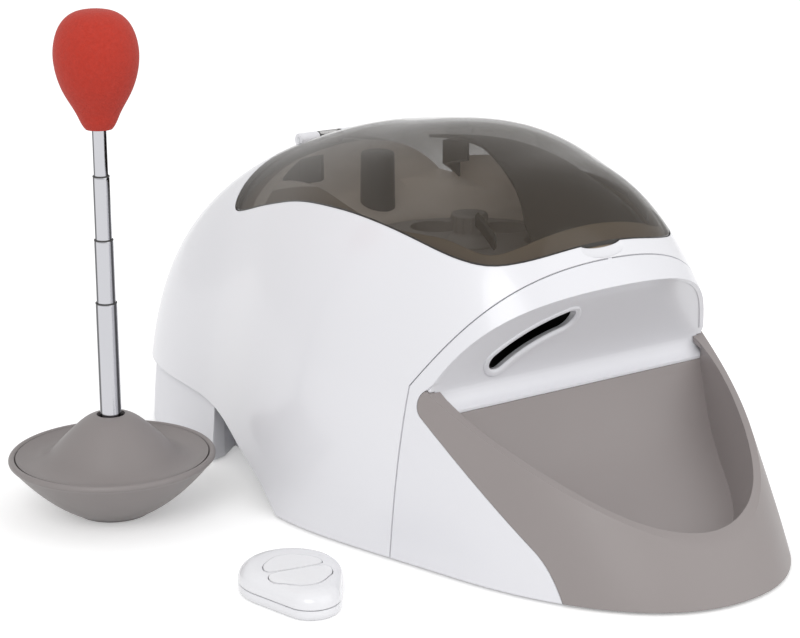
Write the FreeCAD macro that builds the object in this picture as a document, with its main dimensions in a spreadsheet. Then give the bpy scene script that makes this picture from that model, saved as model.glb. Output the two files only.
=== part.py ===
import FreeCAD, Part
import math
import os
import re
from collections import namedtuple
from functools import cache

import Sketcher
from FreeCAD import Placement, Rotation, Vector

# Push button treat dispenser set: the dispenser, its telescoping target wand and its hand remote.
# Frame: Z up, floor at Z = 0, the dispenser's centre plane at X = 0, its treat tray towards -Y.

doc = FreeCAD.newDocument("TreatDispenser")

# ---------------------------------------------------------------- driving dimensions (mm)

SIZES = {
    # dispenser body
    "body_width": 231.0,
    "body_height": 186.0,
    "nose_reach": 108.0,
    "tail_reach": 113.0,
    "wall": 2.6,
    "panel_gap": 0.5,
    "seat_gap": 0.3,
    "foot_height": 1.5,
    # seam between the main shell and the front bezel
    "seam_front": 67.0,
    "seam_kink_height": 83.3,
    "seam_lean": 0.639,
    # lid over the hopper
    "lid_half_width": 79.5,
    "lid_front": 95.0,
    "lid_rear": 131.0,
    "lid_wall": 2.4,
    "lid_rib_wall": 1.6,
    "lid_rib_depth": 13.0,
    "hinge_height": 158.8,
    "hinge_rear": 133.0,
    "hinge_pin_radius": 1.5,
    "hinge_fit": 0.08,
    "hinge_knuckle_radius": 3.8,
    "hinge_half_length": 20.0,
    "hinge_lid_half": 7.0,
    # treat tray
    "rim_thickness": 4.0,
    "tray_fit": 0.35,
    "bowl_wall": 2.6,
    "bowl_half_width": 79.0,
    "bowl_lean": 0.57,
    # outlet slot in the bezel
    "outlet_arc_radius": 68.0,
    "outlet_arc_height": 44.0,
    "outlet_width": 9.5,
    # hopper and dispensing disc
    "disc_centre": 5.0,
    "disc_radius": 60.0,
    "disc_thickness": 11.0,
    "disc_floor": 112.0,
    "disc_running_gap": 0.4,
    "disc_side_gap": 1.0,
    "pocket_radius": 13.0,
    "pocket_circle": 42.0,
    "pocket_count": 7,
    "knob_radius": 14.0,
    "hopper_wall": 2.5,
    "hopper_slope": 0.28,
    "hood_wall": 1.6,
    "post_radius": 9.0,
    "post_height": 158.0,
    # gearmotor under the disc
    "shaft_radius": 3.0,
    "shaft_fit": 0.08,
    "gear_module": 1.5,
    "gear_teeth": 30,
    "pinion_teeth": 10,
    "gear_backlash": 0.15,
    "gear_width": 6.0,
    "gear_height": 92.0,
    "motor_radius": 12.0,
    "motor_length": 30.0,
    "motor_shaft_radius": 1.5,
    "bracket_thickness": 2.0,
    "bracket_post_half": 3.0,
    "chute_wall": 1.8,
    # base
    "base_plate": 2.5,
    "base_wall": 2.5,
    "base_wall_height": 46.0,
    "bay_wall": 2.0,
    "cell_radius": 16.6,
    "cell_length": 61.5,
    "cell_front": 122.0,
    "cell_pitch": 35.0,
    "door_half_width": 64.0,
    "door_thickness": 2.0,
    "door_gap": 0.4,
    "board_thickness": 1.6,
    "speaker_radius": 22.5,
    # rear control panel
    "control_half_width": 40.0,
    "control_half_height": 23.0,
    "control_height": 84.0,
    "control_rear": 209.0,
    "control_tilt": 15.0,
    "control_button_radius": 5.0,
    "control_button_gap": 0.35,
    "switch_travel": 7.0,
    # target wand
    "wand_x": -174.0,
    "wand_y": 65.0,
    "dish_radius": 50.5,
    "dish_foot_radius": 19.0,
    "dish_height": 28.0,
    "dish_wall": 2.4,
    "dome_height": 47.0,
    "tube_base_radius": 5.2,
    "tube_wall": 0.5,
    "tube_fit": 0.075,
    "tube_first_visible": 59.0,
    "tube_visible": 32.0,
    "tube_tip_visible": 24.0,
    "tube_overlap": 20.0,
    "tip_radius": 21.3,
    "tip_height": 66.0,
    "tip_neck_radius": 6.7,
    # hand remote
    "remote_x": -156.4,
    "remote_y": -75.6,
    "remote_turn": 75.0,
    "remote_half_length": 32.0,
    "remote_wide_radius": 23.0,
    "remote_narrow_radius": 17.5,
    "remote_height": 12.5,
    "remote_seam": 6.2,
    "remote_wall": 1.8,
    "remote_button_gap": 0.35,
    "remote_button_travel": 0.8,
    "coin_radius": 10.0,
}

sheet = doc.addObject("Spreadsheet::Sheet", "Sizes")
for row, (alias, value) in enumerate(SIZES.items(), start=1):
    sheet.set(f"A{row}", alias.replace("_", " "))
    sheet.set(f"B{row}", str(value))
    sheet.setAlias(f"B{row}", alias)
doc.recompute()


def size(alias):
    """The sheet's value of one driving dimension."""
    return float(sheet.get(alias))


# ---------------------------------------------------------------- document helpers

ORIGIN = ("0", "0", "0")
nodes = []


def linked(text):
    """The expression with each size name pointing at the sheet."""
    return re.sub(r"[a-z]\w+", lambda word: f"Sizes.{word[0]}" if word[0] in SIZES else word[0], text)


def bind(part, **expressions):
    """Ties properties of a part to the sheet; a double underscore stands for a dot."""
    for name, text in expressions.items():
        part.setExpression(name.replace("__", "."), linked(text))


def place(part, at, turn=None):
    """Turns a part, then ties its position to the sheet."""
    if turn is not None:
        part.Placement = Placement(Vector(), turn)
    bind(part, Placement__Base__x=at[0], Placement__Base__y=at[1], Placement__Base__z=at[2])


def cylinder(name, radius, height, at=ORIGIN, turn=None):
    part = doc.addObject("Part::Cylinder", name)
    bind(part, Radius=radius, Height=height)
    place(part, at, turn)
    return part


def block(name, length, width, height, at=ORIGIN):
    part = doc.addObject("Part::Box", name)
    bind(part, Length=length, Width=width, Height=height)
    place(part, at)
    return part


def feature(name, shape, placement=None):
    """A piece whose shape is worked out here from the sheet."""
    part = doc.addObject("Part::Feature", name)
    part.Shape = shape
    if placement is not None:
        part.Placement = placement
    return part


def combined(kind, name, parts):
    part = doc.addObject(kind, name)
    part.Shapes = parts
    return part


def fused(name, *parts):
    if len(parts) > 2:
        return combined("Part::MultiFuse", name, list(parts))
    part = doc.addObject("Part::Fuse", name)
    part.Base, part.Tool = parts
    return part


def shared(name, *parts):
    return combined("Part::MultiCommon", name, list(parts))


def cut(name, base, *tools):
    part = doc.addObject("Part::Cut", name)
    part.Base = base
    part.Tool = tools[0] if len(tools) == 1 else fused(name + "_tools", *tools)
    return part


def plane_of(body, role):
    return next(item for item in body.Origin.OriginFeatures if item.Role == role)


def draw(sketch, points):
    """Draws a closed polygon whose corners are tied to the sheet as pairs of expressions."""
    count = len(points)
    spots = [Vector(math.cos(2 * math.pi * i / count) * 9 + 10, math.sin(2 * math.pi * i / count) * 9, 0)
             for i in range(count)]
    for i in range(count):
        sketch.addGeometry(Part.LineSegment(spots[i], spots[(i + 1) % count]), False)
    for i in range(count):
        sketch.addConstraint(Sketcher.Constraint("Coincident", i, 2, (i + 1) % count, 1))
    for i, (across, up) in enumerate(points):
        for kind, text in (("DistanceX", across), ("DistanceY", up)):
            index = sketch.addConstraint(Sketcher.Constraint(kind, -1, 1, i, 1, 1.0))
            sketch.setExpression(f"Constraints[{index}]", linked(text))


def sketched(name, role, points):
    """A new body with one polygon sketch on one of its origin planes."""
    body = doc.addObject("PartDesign::Body", name)
    sketch = body.newObject("Sketcher::SketchObject", name + "_profile")
    sketch.AttachmentSupport = [(plane_of(body, role), "")]
    sketch.MapMode = "FlatFace"
    draw(sketch, points)
    doc.recompute()
    return body, sketch


def turned(name, points, at=ORIGIN, turn=None):
    """A body turned about its own Z axis from (radius, height) corners."""
    body, sketch = sketched(name, "XZ_Plane", points)
    revolution = body.newObject("PartDesign::Revolution", name + "_turn")
    revolution.Profile = sketch
    revolution.ReferenceAxis = (sketch, ["V_Axis"])
    revolution.Angle = 360
    place(body, at, turn)
    return body


def node(label, part):
    """Names a finished sub-part."""
    part.Label = label
    nodes.append(part)
    return part


# ---------------------------------------------------------------- outline helpers


def side(y, z):
    return Vector(0, y, z)


def plan(x, y):
    return Vector(x, y, 0)


def outline(start, *steps):
    """A closed wire. Each step is a point to draw a line to, or a list to draw a curve through."""
    edges, here = [], start
    for step in steps:
        if isinstance(step, list):
            curve = Part.BSplineCurve()
            curve.interpolate([here, *step])
            edges.append(curve.toShape())
            here = step[-1]
        else:
            edges.append(Part.makeLine(here, step))
            here = step
    if here.distanceToPoint(start) > 1e-6:
        edges.append(Part.makeLine(here, start))
    return Part.Wire(edges)


def grown(points, by):
    """A closed loop of plan points, each moved outwards by the same distance."""
    moved = []
    for i, point in enumerate(points):
        along = points[(i + 1) % len(points)] - points[i - 1]
        outward = Vector(along.y, -along.x, 0).normalize()
        moved.append(point + outward * by)
    return moved


def mirrored_loop(half):
    """The closed loop of (x, y) pairs from the rear centre round the +X side and back."""
    right = [plan(x, y) for x, y in half]
    left = [plan(-x, y) for x, y in reversed(half[1:-1])]
    return list(reversed(right + left))


def closed_curve(points):
    curve = Part.BSplineCurve()
    curve.interpolate(Points=points, PeriodicFlag=True)
    return Part.Wire(curve.toShape())


def across(wire):
    """A side-view outline drawn out over the whole width."""
    span = size("body_width") * 0.75
    face = Part.Face(wire)
    face.translate(Vector(-span, 0, 0))
    return face.extrude(Vector(2 * span, 0, 0))


# ---------------------------------------------------------------- styled outer form

Section = namedtuple("Section", "foot tilt half_width reach lean shoulder crown")

# Arched sections of the body, nose to tail. Each stands on a line across the body, FORM_FLOOR
# below the ground, at its foot (along Y) and tilted from straight ahead (0) to straight back (180).
FORM_FLOOR = 60.0
REFERENCE = Section(foot=0, tilt=0, half_width=115.5, reach=186.0, lean=0, shoulder=0, crown=0)
REFERENCE_NOSE = 108.0
REFERENCE_TAIL = 113.0
SECTIONS = [
    Section(-108, 15, 98, 113, 0.42, 0.64, 0.43),
    Section(-102, 40, 98, 116, 0.30, 0.64, 0.56),
    Section(-96, 65, 98, 139, 0.18, 0.64, 0.68),
    Section(-90, 90, 98, 212, 0.06, 0.64, 0.80),
    Section(-45, 90, 107.5, 238, 0.0, 0.64, 0.80),
    Section(0, 90, 116, 246, 0.0, 0.64, 0.80),
    Section(50, 90, 113.5, 241, 0.0, 0.64, 0.80),
    Section(100, 90, 104, 230, 0.0, 0.64, 0.80),
    Section(106, 115, 104, 200, 0.0, 0.70, 0.80),
    Section(112, 140, 104, 135, 0.0, 0.75, 0.81),
    Section(118, 165, 104, 102, 0.0, 0.80, 0.82),
]


def section_poles(section, inset):
    """The six control points of one arched section, in from the outer face by the inset."""
    tilt = math.radians(section.tilt)
    stretch = size("nose_reach") / REFERENCE_NOSE if section.foot < 0 else size("tail_reach") / REFERENCE_TAIL
    lift = (size("body_height") + FORM_FLOOR) / (REFERENCE.reach + FORM_FLOOR)
    rise = Vector(0, -math.cos(tilt) * stretch, math.sin(tilt) * lift) * section.reach
    rise = rise * (1 - inset / rise.Length)
    half = section.half_width * size("body_width") / (2 * REFERENCE.half_width) - inset
    foot = Vector(0, section.foot, -FORM_FLOOR)
    shoulder = half - section.lean * section.shoulder * section.reach
    left = [
        foot + Vector(-half, 0, 0),
        foot + rise * section.shoulder + Vector(-shoulder, 0, 0),
        foot + rise + Vector(-section.crown * half, 0, 0),
    ]
    return left + [Vector(-pole.x, pole.y, pole.z) for pole in reversed(left)]


@cache
def styled_form(inset):
    """The solid under the styled surface, down to the level of the base."""
    columns = zip(*[section_poles(section, inset) for section in SECTIONS])
    curves = []
    for column in columns:
        curve = Part.BSplineCurve()
        curve.interpolate(Points=list(column), Parameters=[float(i) for i in range(len(SECTIONS))])
        curves.append(curve)
    rows = [list(row) for row in zip(*[curve.getPoles() for curve in curves])]
    surface = Part.BSplineSurface()
    surface.buildFromPolesMultsKnots(
        rows, curves[0].getMultiplicities(), [4, 2, 4], curves[0].getKnots(), [0.0, 1.0, 2.0],
        False, False, 3, 3)
    reach = 2 * (size("body_width") + size("nose_reach") + size("tail_reach"))
    space = Part.makeBox(reach, reach, reach, Vector(-reach / 2, -reach / 2, size("foot_height")))
    pieces, _ = space.generalFuse([surface.toShape()])
    heart = Vector(0, 0, size("foot_height") + 1)
    return next(solid for solid in pieces.Solids if solid.isInside(heart, 0.01, True))


wall = size("wall")
panel_gap = size("panel_gap")
ground = size("foot_height")

outer_form = feature("outer_form", styled_form(0))
inner_form = feature("inner_form", styled_form(wall))
shell_skin = cut("shell_skin", outer_form, inner_form)

# ---------------------------------------------------------------- side-view regions

# Front face of the recessed bezel panel, from its bottom lip up to the visor edge.
PANEL_CURVE = [(-83, 72.5), (-79, 75), (-77, 79.5), (-78.5, 86), (-85, 98), (-96, 113), (-110, 126.5),
               (-126, 137), (-150, 150)]
PANEL_BOTTOM = 70.0
PANEL_LIP = 0.5
# Top of the tray rim, rear corner to tip and on past the nose.
RIM_CURVE = [(-75, 82.4), (-129, 55.4), (-182.6, 26.1), (-240, -12)]
# Middle of the tray floor, from the panel's lip down the ramp to the nose.
FLOOR_CURVE = [(-83, 72.5), (-92, 53), (-104, 39), (-133, 24), (-170, 9.5)]
FAR = 400.0


def front_region(name, shift):
    """Everything ahead of the seam, moved forward by the shift."""
    top = size("body_height") * 2
    front = -size("seam_front") - shift
    kink = size("seam_kink_height")
    wire = outline(
        side(front, -FAR), side(front, kink), side(front - size("seam_lean") * (top - kink), top),
        side(-FAR, top), side(-FAR, -FAR))
    return feature(name, across(wire))


def nose_region(name, shift):
    """Everything ahead of the bezel's edge: the tray's skin and the open space above it."""
    panel = [side(y - shift - PANEL_LIP, z) for y, z in reversed(PANEL_CURVE[3:])]
    wire = outline(
        panel[0], panel[1:], side(-76 - shift, 82.8),
        [side(-73.4 - shift, 79.6), side(-72.8 - shift, 75.6), side(-75.5 - shift, 70.3)],
        side(-139 - shift, 21.6),
        [side(-146.5 - shift, 14), side(-152 - shift, 6), side(-157.5 - shift, -4)],
        side(-FAR, -4), side(-FAR, panel[0].z))
    return feature(name, across(wire))


def below_curve(name, curve, drop, rear=0.0):
    """Everything under a side-view curve that is moved down by the drop, ahead of the rear."""
    points = [side(y, z - drop) for y, z in curve]
    wire = outline(side(rear, points[0].z), points[0], points[1:], side(-FAR, points[-1].z),
                   side(-FAR, -FAR), side(rear, -FAR))
    return feature(name, across(wire))


def behind_panel(name, shift):
    """Everything behind the recessed panel's front face, moved forward by the shift."""
    points = [side(y - shift, z) for y, z in PANEL_CURVE]
    wire = outline(side(points[0].y, -FAR), points[0], points[1:], side(0, points[-1].z), side(0, -FAR))
    return feature(name, across(wire))


# ---------------------------------------------------------------- lid and its opening

LID_HALF = [(0, 131), (42, 130), (58, 126.5), (64.5, 117), (65.2, 98), (67.6, 71.5), (74, 38), (79.5, 3),
            (78, -25), (67, -61), (56, -84), (31, -93.5), (0, -95)]


def lid_loop(grow):
    """The lid's plan outline, grown or shrunk all round."""
    wide = size("lid_half_width") / 79.5
    rear = size("lid_rear") / 131.0
    front = size("lid_front") / 95.0
    half = [(x * wide, y * (rear if y > 0 else front)) for x, y in LID_HALF]
    return grown(mirrored_loop(half), grow)


def lid_prism(name, grow, bottom, rear=None):
    """The space over the lid's plan outline, from the bottom up."""
    prism = Part.Face(closed_curve(lid_loop(grow))).extrude(Vector(0, 0, FAR))
    prism.translate(Vector(0, 0, bottom))
    if rear is not None:
        prism = prism.common(Part.makeBox(FAR, FAR, 3 * FAR, Vector(-FAR / 2, rear - FAR, -FAR)))
    return feature(name, prism)


LID_PRISM_BOTTOM = 100.0
lid_opening = lid_prism("lid_opening", 0, LID_PRISM_BOTTOM)
lid_space = lid_prism("lid_space", -panel_gap, LID_PRISM_BOTTOM)
lid_inner_form = feature("lid_inner_form", styled_form(size("lid_wall")))


def across_cylinder(name, radius, half_length, y, z):
    """A round bar along X, centred on the middle plane."""
    return cylinder(name, radius, f"2 * ({half_length})", (f"-({half_length})", y, z),
                    Rotation(Vector(0, 1, 0), 90))


# ---------------------------------------------------------------- main shell

# Lower edge of the main shell behind the front corner: it lifts off the floor over the rear block.
SCOOP_CURVE = [(7.6, 0), (27, 14.5), (49.6, 23.7), (73, 30.5), (98.4, 34), (144, 36), (180, 37.5), (300, 39)]


def scoop_region():
    points = [side(y, z) for y, z in SCOOP_CURVE]
    wire = outline(side(4.0, -5), points[0], points[1:], side(300, -5))
    return feature("scoop_region", across(wire))


def control_frame():
    """The place of the rear control panel: X across, Y up the panel, Z straight out."""
    turn = Rotation(Vector(-1, 0, 0), Vector(0, -math.sin(math.radians(size("control_tilt"))),
                    math.cos(math.radians(size("control_tilt")))), Vector(), "XYZ")
    return Placement(Vector(0, size("control_rear"), size("control_height")), turn)


def rounded_plate(half_width, half_height, radius, bottom, top):
    """A plate about the local origin, with round corners where a radius is given."""
    plate = Part.makeBox(2 * half_width, 2 * half_height, top - bottom,
                         Vector(-half_width, -half_height, bottom))
    if not radius:
        return plate
    uprights = [edge for edge in plate.Edges
                if abs(edge.tangentAt(edge.FirstParameter).z) > 0.99]
    return plate.makeFillet(radius, uprights)


CONTROL_CORNER = 8.0
control_place = control_frame()
control_opening = feature(
    "control_opening",
    rounded_plate(size("control_half_width") + panel_gap, size("control_half_height") + panel_gap,
                  CONTROL_CORNER, -30, 30), control_place)


def hinge_barrel(name, half_length, radius="hinge_knuckle_radius"):
    return across_cylinder(name, radius, half_length, "hinge_rear", "hinge_height")


front_cut = front_region("front_cut", 0)
shell_opened = cut("shell_opened", shell_skin, front_cut, scoop_region(), lid_opening, control_opening)
shell_hinged = fused("shell_hinged", shell_opened, hinge_barrel("shell_barrel", "hinge_half_length"))
node("main_shell", cut("main_shell", shell_hinged,
                       hinge_barrel("lid_barrel_space", "hinge_lid_half + panel_gap",
                                    "hinge_knuckle_radius + panel_gap"),
                       hinge_barrel("shell_bore", "hinge_half_length + 1", "hinge_pin_radius")))

# ---------------------------------------------------------------- front bezel with panel and outlet


def panel_band():
    """The recessed panel: a curved wall behind the panel's front face."""
    front = [side(y, z) for y, z in PANEL_CURVE]
    back = [side(y + wall * 1.15, z + wall * 0.3) for y, z in reversed(PANEL_CURVE)]
    wire = outline(side(front[0].y, PANEL_BOTTOM), front[0], front[1:], back[0], back[1:],
                   side(back[-1].y, PANEL_BOTTOM))
    return across(wire)


def slot_outline(grow):
    """An arched slot, about the middle plane, seen along Y."""
    height = size("outlet_arc_height")
    middle = size("outlet_arc_radius")
    half = size("outlet_width") / 2 + grow
    first, last = math.radians(106), math.radians(135)

    def spot(radius, angle):
        return Vector(radius * math.cos(angle), 0, height + radius * math.sin(angle))

    def cap(angle, turn):
        end = spot(middle, angle)
        ahead = Vector(-math.sin(angle), 0, math.cos(angle)) * turn
        return end + ahead * half

    centre = (first + last) / 2
    return Part.Wire([
        Part.Arc(spot(middle + half, first), spot(middle + half, centre),
                 spot(middle + half, last)).toShape(),
        Part.Arc(spot(middle + half, last), cap(last, 1), spot(middle - half, last)).toShape(),
        Part.Arc(spot(middle - half, last), spot(middle - half, centre),
                 spot(middle - half, first)).toShape(),
        Part.Arc(spot(middle - half, first), cap(first, -1), spot(middle + half, first)).toShape(),
    ])


def slot_prism(name, grow, rear, depth):
    """The slot drawn out towards the front from the rear."""
    face = Part.Face(slot_outline(grow))
    face.translate(Vector(0, rear, 0))
    return feature(name, face.extrude(Vector(0, -depth, 0)))


tray_fit = size("tray_fit")
bezel_region = front_region("bezel_region", panel_gap)
nose_cut = nose_region("nose_cut", 0)
bezel_skin = cut("bezel_skin", shared("bezel_blank", shell_skin, bezel_region), nose_cut)
tray_inner_form = feature("tray_inner_form", styled_form(size("rim_thickness") + tray_fit))
rim_clearance = below_curve("rim_clearance", RIM_CURVE, -tray_fit)
tray_envelope = shared("tray_envelope", cut("tray_skin", outer_form, tray_inner_form), nose_cut,
                       rim_clearance)
outlet_slot = slot_prism("outlet_slot", 0, 0, 150)
doc.recompute()
bezel_panel = styled_form(wall / 2).common(panel_band()).common(bezel_region.Shape)
bezel_solid = bezel_skin.Shape.fuse(bezel_panel)
node("front_bezel", feature("front_bezel", bezel_solid.cut(tray_envelope.Shape).cut(outlet_slot.Shape)))

# ---------------------------------------------------------------- treat tray

# Plan outline of the bowl at ground level; the bowl's walls lean forward from it.
BOWL_HALF = [(79, -27.8), (76, -56), (66, -88.8), (50, -123.8), (30, -149.8), (0, -162.4)]
BOWL_REAR = 40.0


def bowl_prism(name, grow):
    """The leaning space inside the bowl's walls."""
    wide = size("bowl_half_width") / 79.0
    ahead = size("nose_reach") - REFERENCE_NOSE
    half = [(x * wide, y - ahead * (1 if y < -100 else 0)) for x, y in BOWL_HALF]
    loop = [plan(x, y) for x, y in half] + [plan(-x, y) for x, y in reversed(half[:-1])]
    if grow:
        ends = [loop[0] + Vector(grow, 0, 0), loop[-1] - Vector(grow, 0, 0)]
        loop = [ends[0], *grown(list(reversed(loop)), grow)[::-1][1:-1], ends[1]]
    curve = Part.BSplineCurve()
    curve.interpolate(loop)
    start, end = loop[0], loop[-1]
    wire = Part.Wire([
        curve.toShape(),
        Part.makeLine(end, plan(end.x, BOWL_REAR)),
        Part.makeLine(plan(end.x, BOWL_REAR), plan(start.x, BOWL_REAR)),
        Part.makeLine(plan(start.x, BOWL_REAR), start),
    ])
    height = 120.0
    return feature(name, Part.Face(wire).extrude(Vector(0, -size("bowl_lean") * height, height)))


def above_curve(name, curve, drop):
    """Everything over a side-view curve that is moved down by the drop."""
    points = [side(y, z - drop) for y, z in curve]
    wire = outline(points[0], points[1:], side(-FAR, points[-1].z), side(-FAR, FAR),
                   side(points[0].y, FAR))
    return feature(name, across(wire))


tray_nose = nose_region("tray_nose", tray_fit)
below_rim = below_curve("below_rim", RIM_CURVE, 0)
under_rim = below_curve("under_rim", RIM_CURVE, size("bowl_wall"))
above_floor = above_curve("above_floor", FLOOR_CURVE, 0)
above_floor_skin = above_curve("above_floor_skin", FLOOR_CURVE, size("bowl_wall"))
panel_clearance = behind_panel("panel_clearance", tray_fit)
rim_inner_form = feature("rim_inner_form", styled_form(size("rim_thickness")))

tray_outer = shared("tray_outer", outer_form, tray_nose)
bowl_block = shared("bowl_block", rim_inner_form, above_floor_skin)
tray_blank = shared("tray_blank", fused("tray_mass", tray_outer, bowl_block), below_rim)
bowl_solid = shared("bowl_solid", bowl_prism("bowl_outside", size("bowl_wall")), above_floor_skin)
tray_hollow = cut("tray_hollow", shared("tray_inside", inner_form, under_rim), bowl_solid)
bowl_space = shared("bowl_space", bowl_prism("bowl_inside", 0), above_floor)
tray_rear_space = shared("tray_rear_space", rim_inner_form, panel_clearance)
node("treat_tray", cut("treat_tray", tray_blank, tray_hollow, bowl_space, tray_rear_space))

# ---------------------------------------------------------------- lid and hinge

LID_WEB_LENGTH = 11.0
LID_WEB_THICKNESS = 2.2
LID_WEB_LIFT = 0.6

hinge_pocket = hinge_barrel("hinge_pocket", "hinge_half_length + panel_gap",
                            "hinge_knuckle_radius + panel_gap")
lid_web = block("lid_web", "2 * hinge_lid_half", f"{LID_WEB_LENGTH}", f"{LID_WEB_THICKNESS}",
                ("-hinge_lid_half", f"hinge_rear - {LID_WEB_LENGTH}", f"hinge_height + {LID_WEB_LIFT}"))
lid_blank = cut("lid_blank", shared("lid_shape", cut("lid_skin", outer_form, lid_inner_form), lid_space),
                hinge_pocket)
lid_bore = hinge_barrel("lid_bore", "hinge_lid_half + 1", "hinge_pin_radius + hinge_fit")
lid_hinged = fused("lid_hinged", lid_blank, lid_web, hinge_barrel("lid_barrel", "hinge_lid_half"))
node("hopper_lid", cut("hopper_lid", lid_hinged, lid_bore))
node("hinge_pin", hinge_barrel("hinge_pin", "hinge_half_length", "hinge_pin_radius"))

# Ribs that hang from the lid: an L in plan at each rear corner, a single fin at each front corner.
rib_wall = size("lid_rib_wall")
RIB_PLANS = {
    "rear": (size("lid_rib_depth"), [(46, 68, rib_wall, 22), (46, 90 - rib_wall, 11, rib_wall)]),
    "front": (size("lid_rib_depth") * 0.4, [(46, -76, rib_wall, 14)]),
}


def lid_rib(name, depth, plans, way):
    """Upright ribs that hang under the lid, from (x, y, length, width) boxes."""
    lid_under = styled_form(size("lid_wall"))
    lower = lid_under.translated(Vector(0, 0, -depth))
    walls = []
    for x, y, length, width in plans:
        left = x if way > 0 else -x - length
        walls.append(Part.makeBox(length, width, FAR, Vector(left, y, 0)).common(lid_under).cut(lower))
    return feature(name, walls[0].fuse(walls[1:]) if len(walls) > 1 else walls[0])


for end, (depth, plans) in RIB_PLANS.items():
    for way, hand in ((-1, "left"), (1, "right")):
        node(f"lid_rib_{end}_{hand}", lid_rib(f"lid_rib_{end}_{hand}", depth, plans, way))

# ---------------------------------------------------------------- base pan and feet

BASE_WALL_FRONT = -60.0
BASE_FRONT = -160.0
FOOT_RECESS = 0.5
FOOT_FIT = 0.3
FOOT_HALF = (11.0, 5.0)
FEET = {"front_left": (-48, -112), "front_right": (48, -112),
        "rear_left": (-68, 184), "rear_right": (68, 184)}
# Plan of the left hand scoop, between the shell's lifted edge and the base's rear block.
SCOOP_PLAN = [(-170, 6), (-113, 9), (-84, 30), (-78, 46), (-78, 110), (-84, 104.5), (-91, 98.5), (-98, 96),
              (-170, 95)]


def scoops(name, grow):
    """The two hand scoops in the sides of the base, drawn up through its walls."""
    wire = Part.makePolygon([plan(x, y) for x, y in [*SCOOP_PLAN, SCOOP_PLAN[0]]])
    if grow:
        wire = wire.makeOffset2D(grow, 2)
    left = Part.Face(wire).extrude(Vector(0, 0, FAR))
    right = left.mirror(Vector(), Vector(1, 0, 0))
    return feature(name, Part.makeCompound([left, right]))


def base_slab(name, inset, front, bottom, top):
    """The styled form cut to a height band, ahead to the front."""
    band = Part.makeBox(FAR, 2 * FAR, top - bottom, Vector(-FAR / 2, front, bottom))
    return feature(name, styled_form(inset).common(band))


def box(name, low, high, placement=None):
    """A block between two corners."""
    size_of = [b - a for a, b in zip(low, high)]
    return feature(name, Part.makeBox(*size_of, Vector(*low)), placement)


base_top = ground + size("base_plate")
base_inset = wall + size("seat_gap")
base_wall_top = size("base_wall_height")
base_wall = size("base_wall")
base_floor = base_slab("base_floor", base_inset, BASE_FRONT, ground, base_top)
base_block = base_slab("base_block", base_inset, BASE_WALL_FRONT, ground, base_wall_top)
base_cavity = base_slab("base_cavity", base_inset + base_wall, BASE_WALL_FRONT - 1, base_top,
                        base_wall_top + 1)
base_ring = cut("base_ring", base_block, cut("base_inside", base_cavity, scoops("scoop_walls", base_wall)))

cell_radius = size("cell_radius")
bay_half = size("door_half_width")
bay_front = size("cell_front") - cell_radius - 1
bay_rear = size("cell_front") + size("cell_pitch") + cell_radius + 1
door_opening = box("door_opening", (-bay_half, bay_front, ground - 1), (bay_half, bay_rear, base_top + 1))


def foot_pad(name, x, y, fit):
    """A rubber pad that stands in a recess of the base."""
    across, along = FOOT_HALF[0] + fit, FOOT_HALF[1] + fit
    return box(name, (x - across, y - along, 0), (x + across, y + along, ground + FOOT_RECESS))


foot_recesses = [foot_pad(f"foot_recess_{place_name}", x, y, FOOT_FIT) for place_name, (x, y) in FEET.items()]
node("base_pan", cut("base_pan", fused("base_solid", base_floor, base_ring), scoops("scoop_space", 0),
                     door_opening, *foot_recesses))
for place_name, (x, y) in FEET.items():
    node(f"foot_{place_name}", foot_pad(f"foot_{place_name}", x, y, 0))

# ---------------------------------------------------------------- batteries

CELL_CLEARANCE = 0.4
CONTACT_THICKNESS = 0.6
CONTACT_HALF_HEIGHT = 10.0
LEAF_HALF = 6.0
DOOR_INSET = 0.1

door_gap = size("door_gap")
cell_axis = base_top + CELL_CLEARANCE + cell_radius
bay_top = cell_axis + cell_radius + CELL_CLEARANCE
bay_wall = size("bay_wall")
node("battery_door", box(
    "battery_door",
    (door_gap - bay_half, bay_front + door_gap, base_top - DOOR_INSET - size("door_thickness")),
    (bay_half - door_gap, bay_rear - door_gap, base_top - DOOR_INSET)))
BOARD_POST_HALF = 3.0
BOARD_POST_HEIGHT = 5.0
board_posts = [
    box(f"board_post_{index}", (x - BOARD_POST_HALF, y - BOARD_POST_HALF, bay_top + bay_wall - 1),
        (x + BOARD_POST_HALF, y + BOARD_POST_HALF, bay_top + bay_wall + BOARD_POST_HEIGHT))
    for index, (x, y) in enumerate([(-36, 114), (36, 114), (-36, 160), (36, 160)])
]
bay_outer = box("bay_outer", (-bay_half - bay_wall, bay_front - bay_wall, base_top),
                (bay_half + bay_wall, bay_rear + bay_wall, bay_top + bay_wall))
bay_inner = box("bay_inner", (-bay_half, bay_front, base_top - 1), (bay_half, bay_rear, bay_top))
node("battery_bay", fused("battery_bay", cut("bay_box", bay_outer, bay_inner), *board_posts))

for row_index in range(2):
    for column_index, way in enumerate((-1, 1)):
        name = f"battery_cell_{row_index * 2 + column_index + 1}"
        node(name, cylinder(name, "cell_radius", "cell_length",
                            (f"{CELL_CLEARANCE * way}", f"cell_front + {row_index} * cell_pitch", f"{cell_axis}"),
                            Rotation(Vector(0, 1, 0), 90 * way)))

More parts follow.
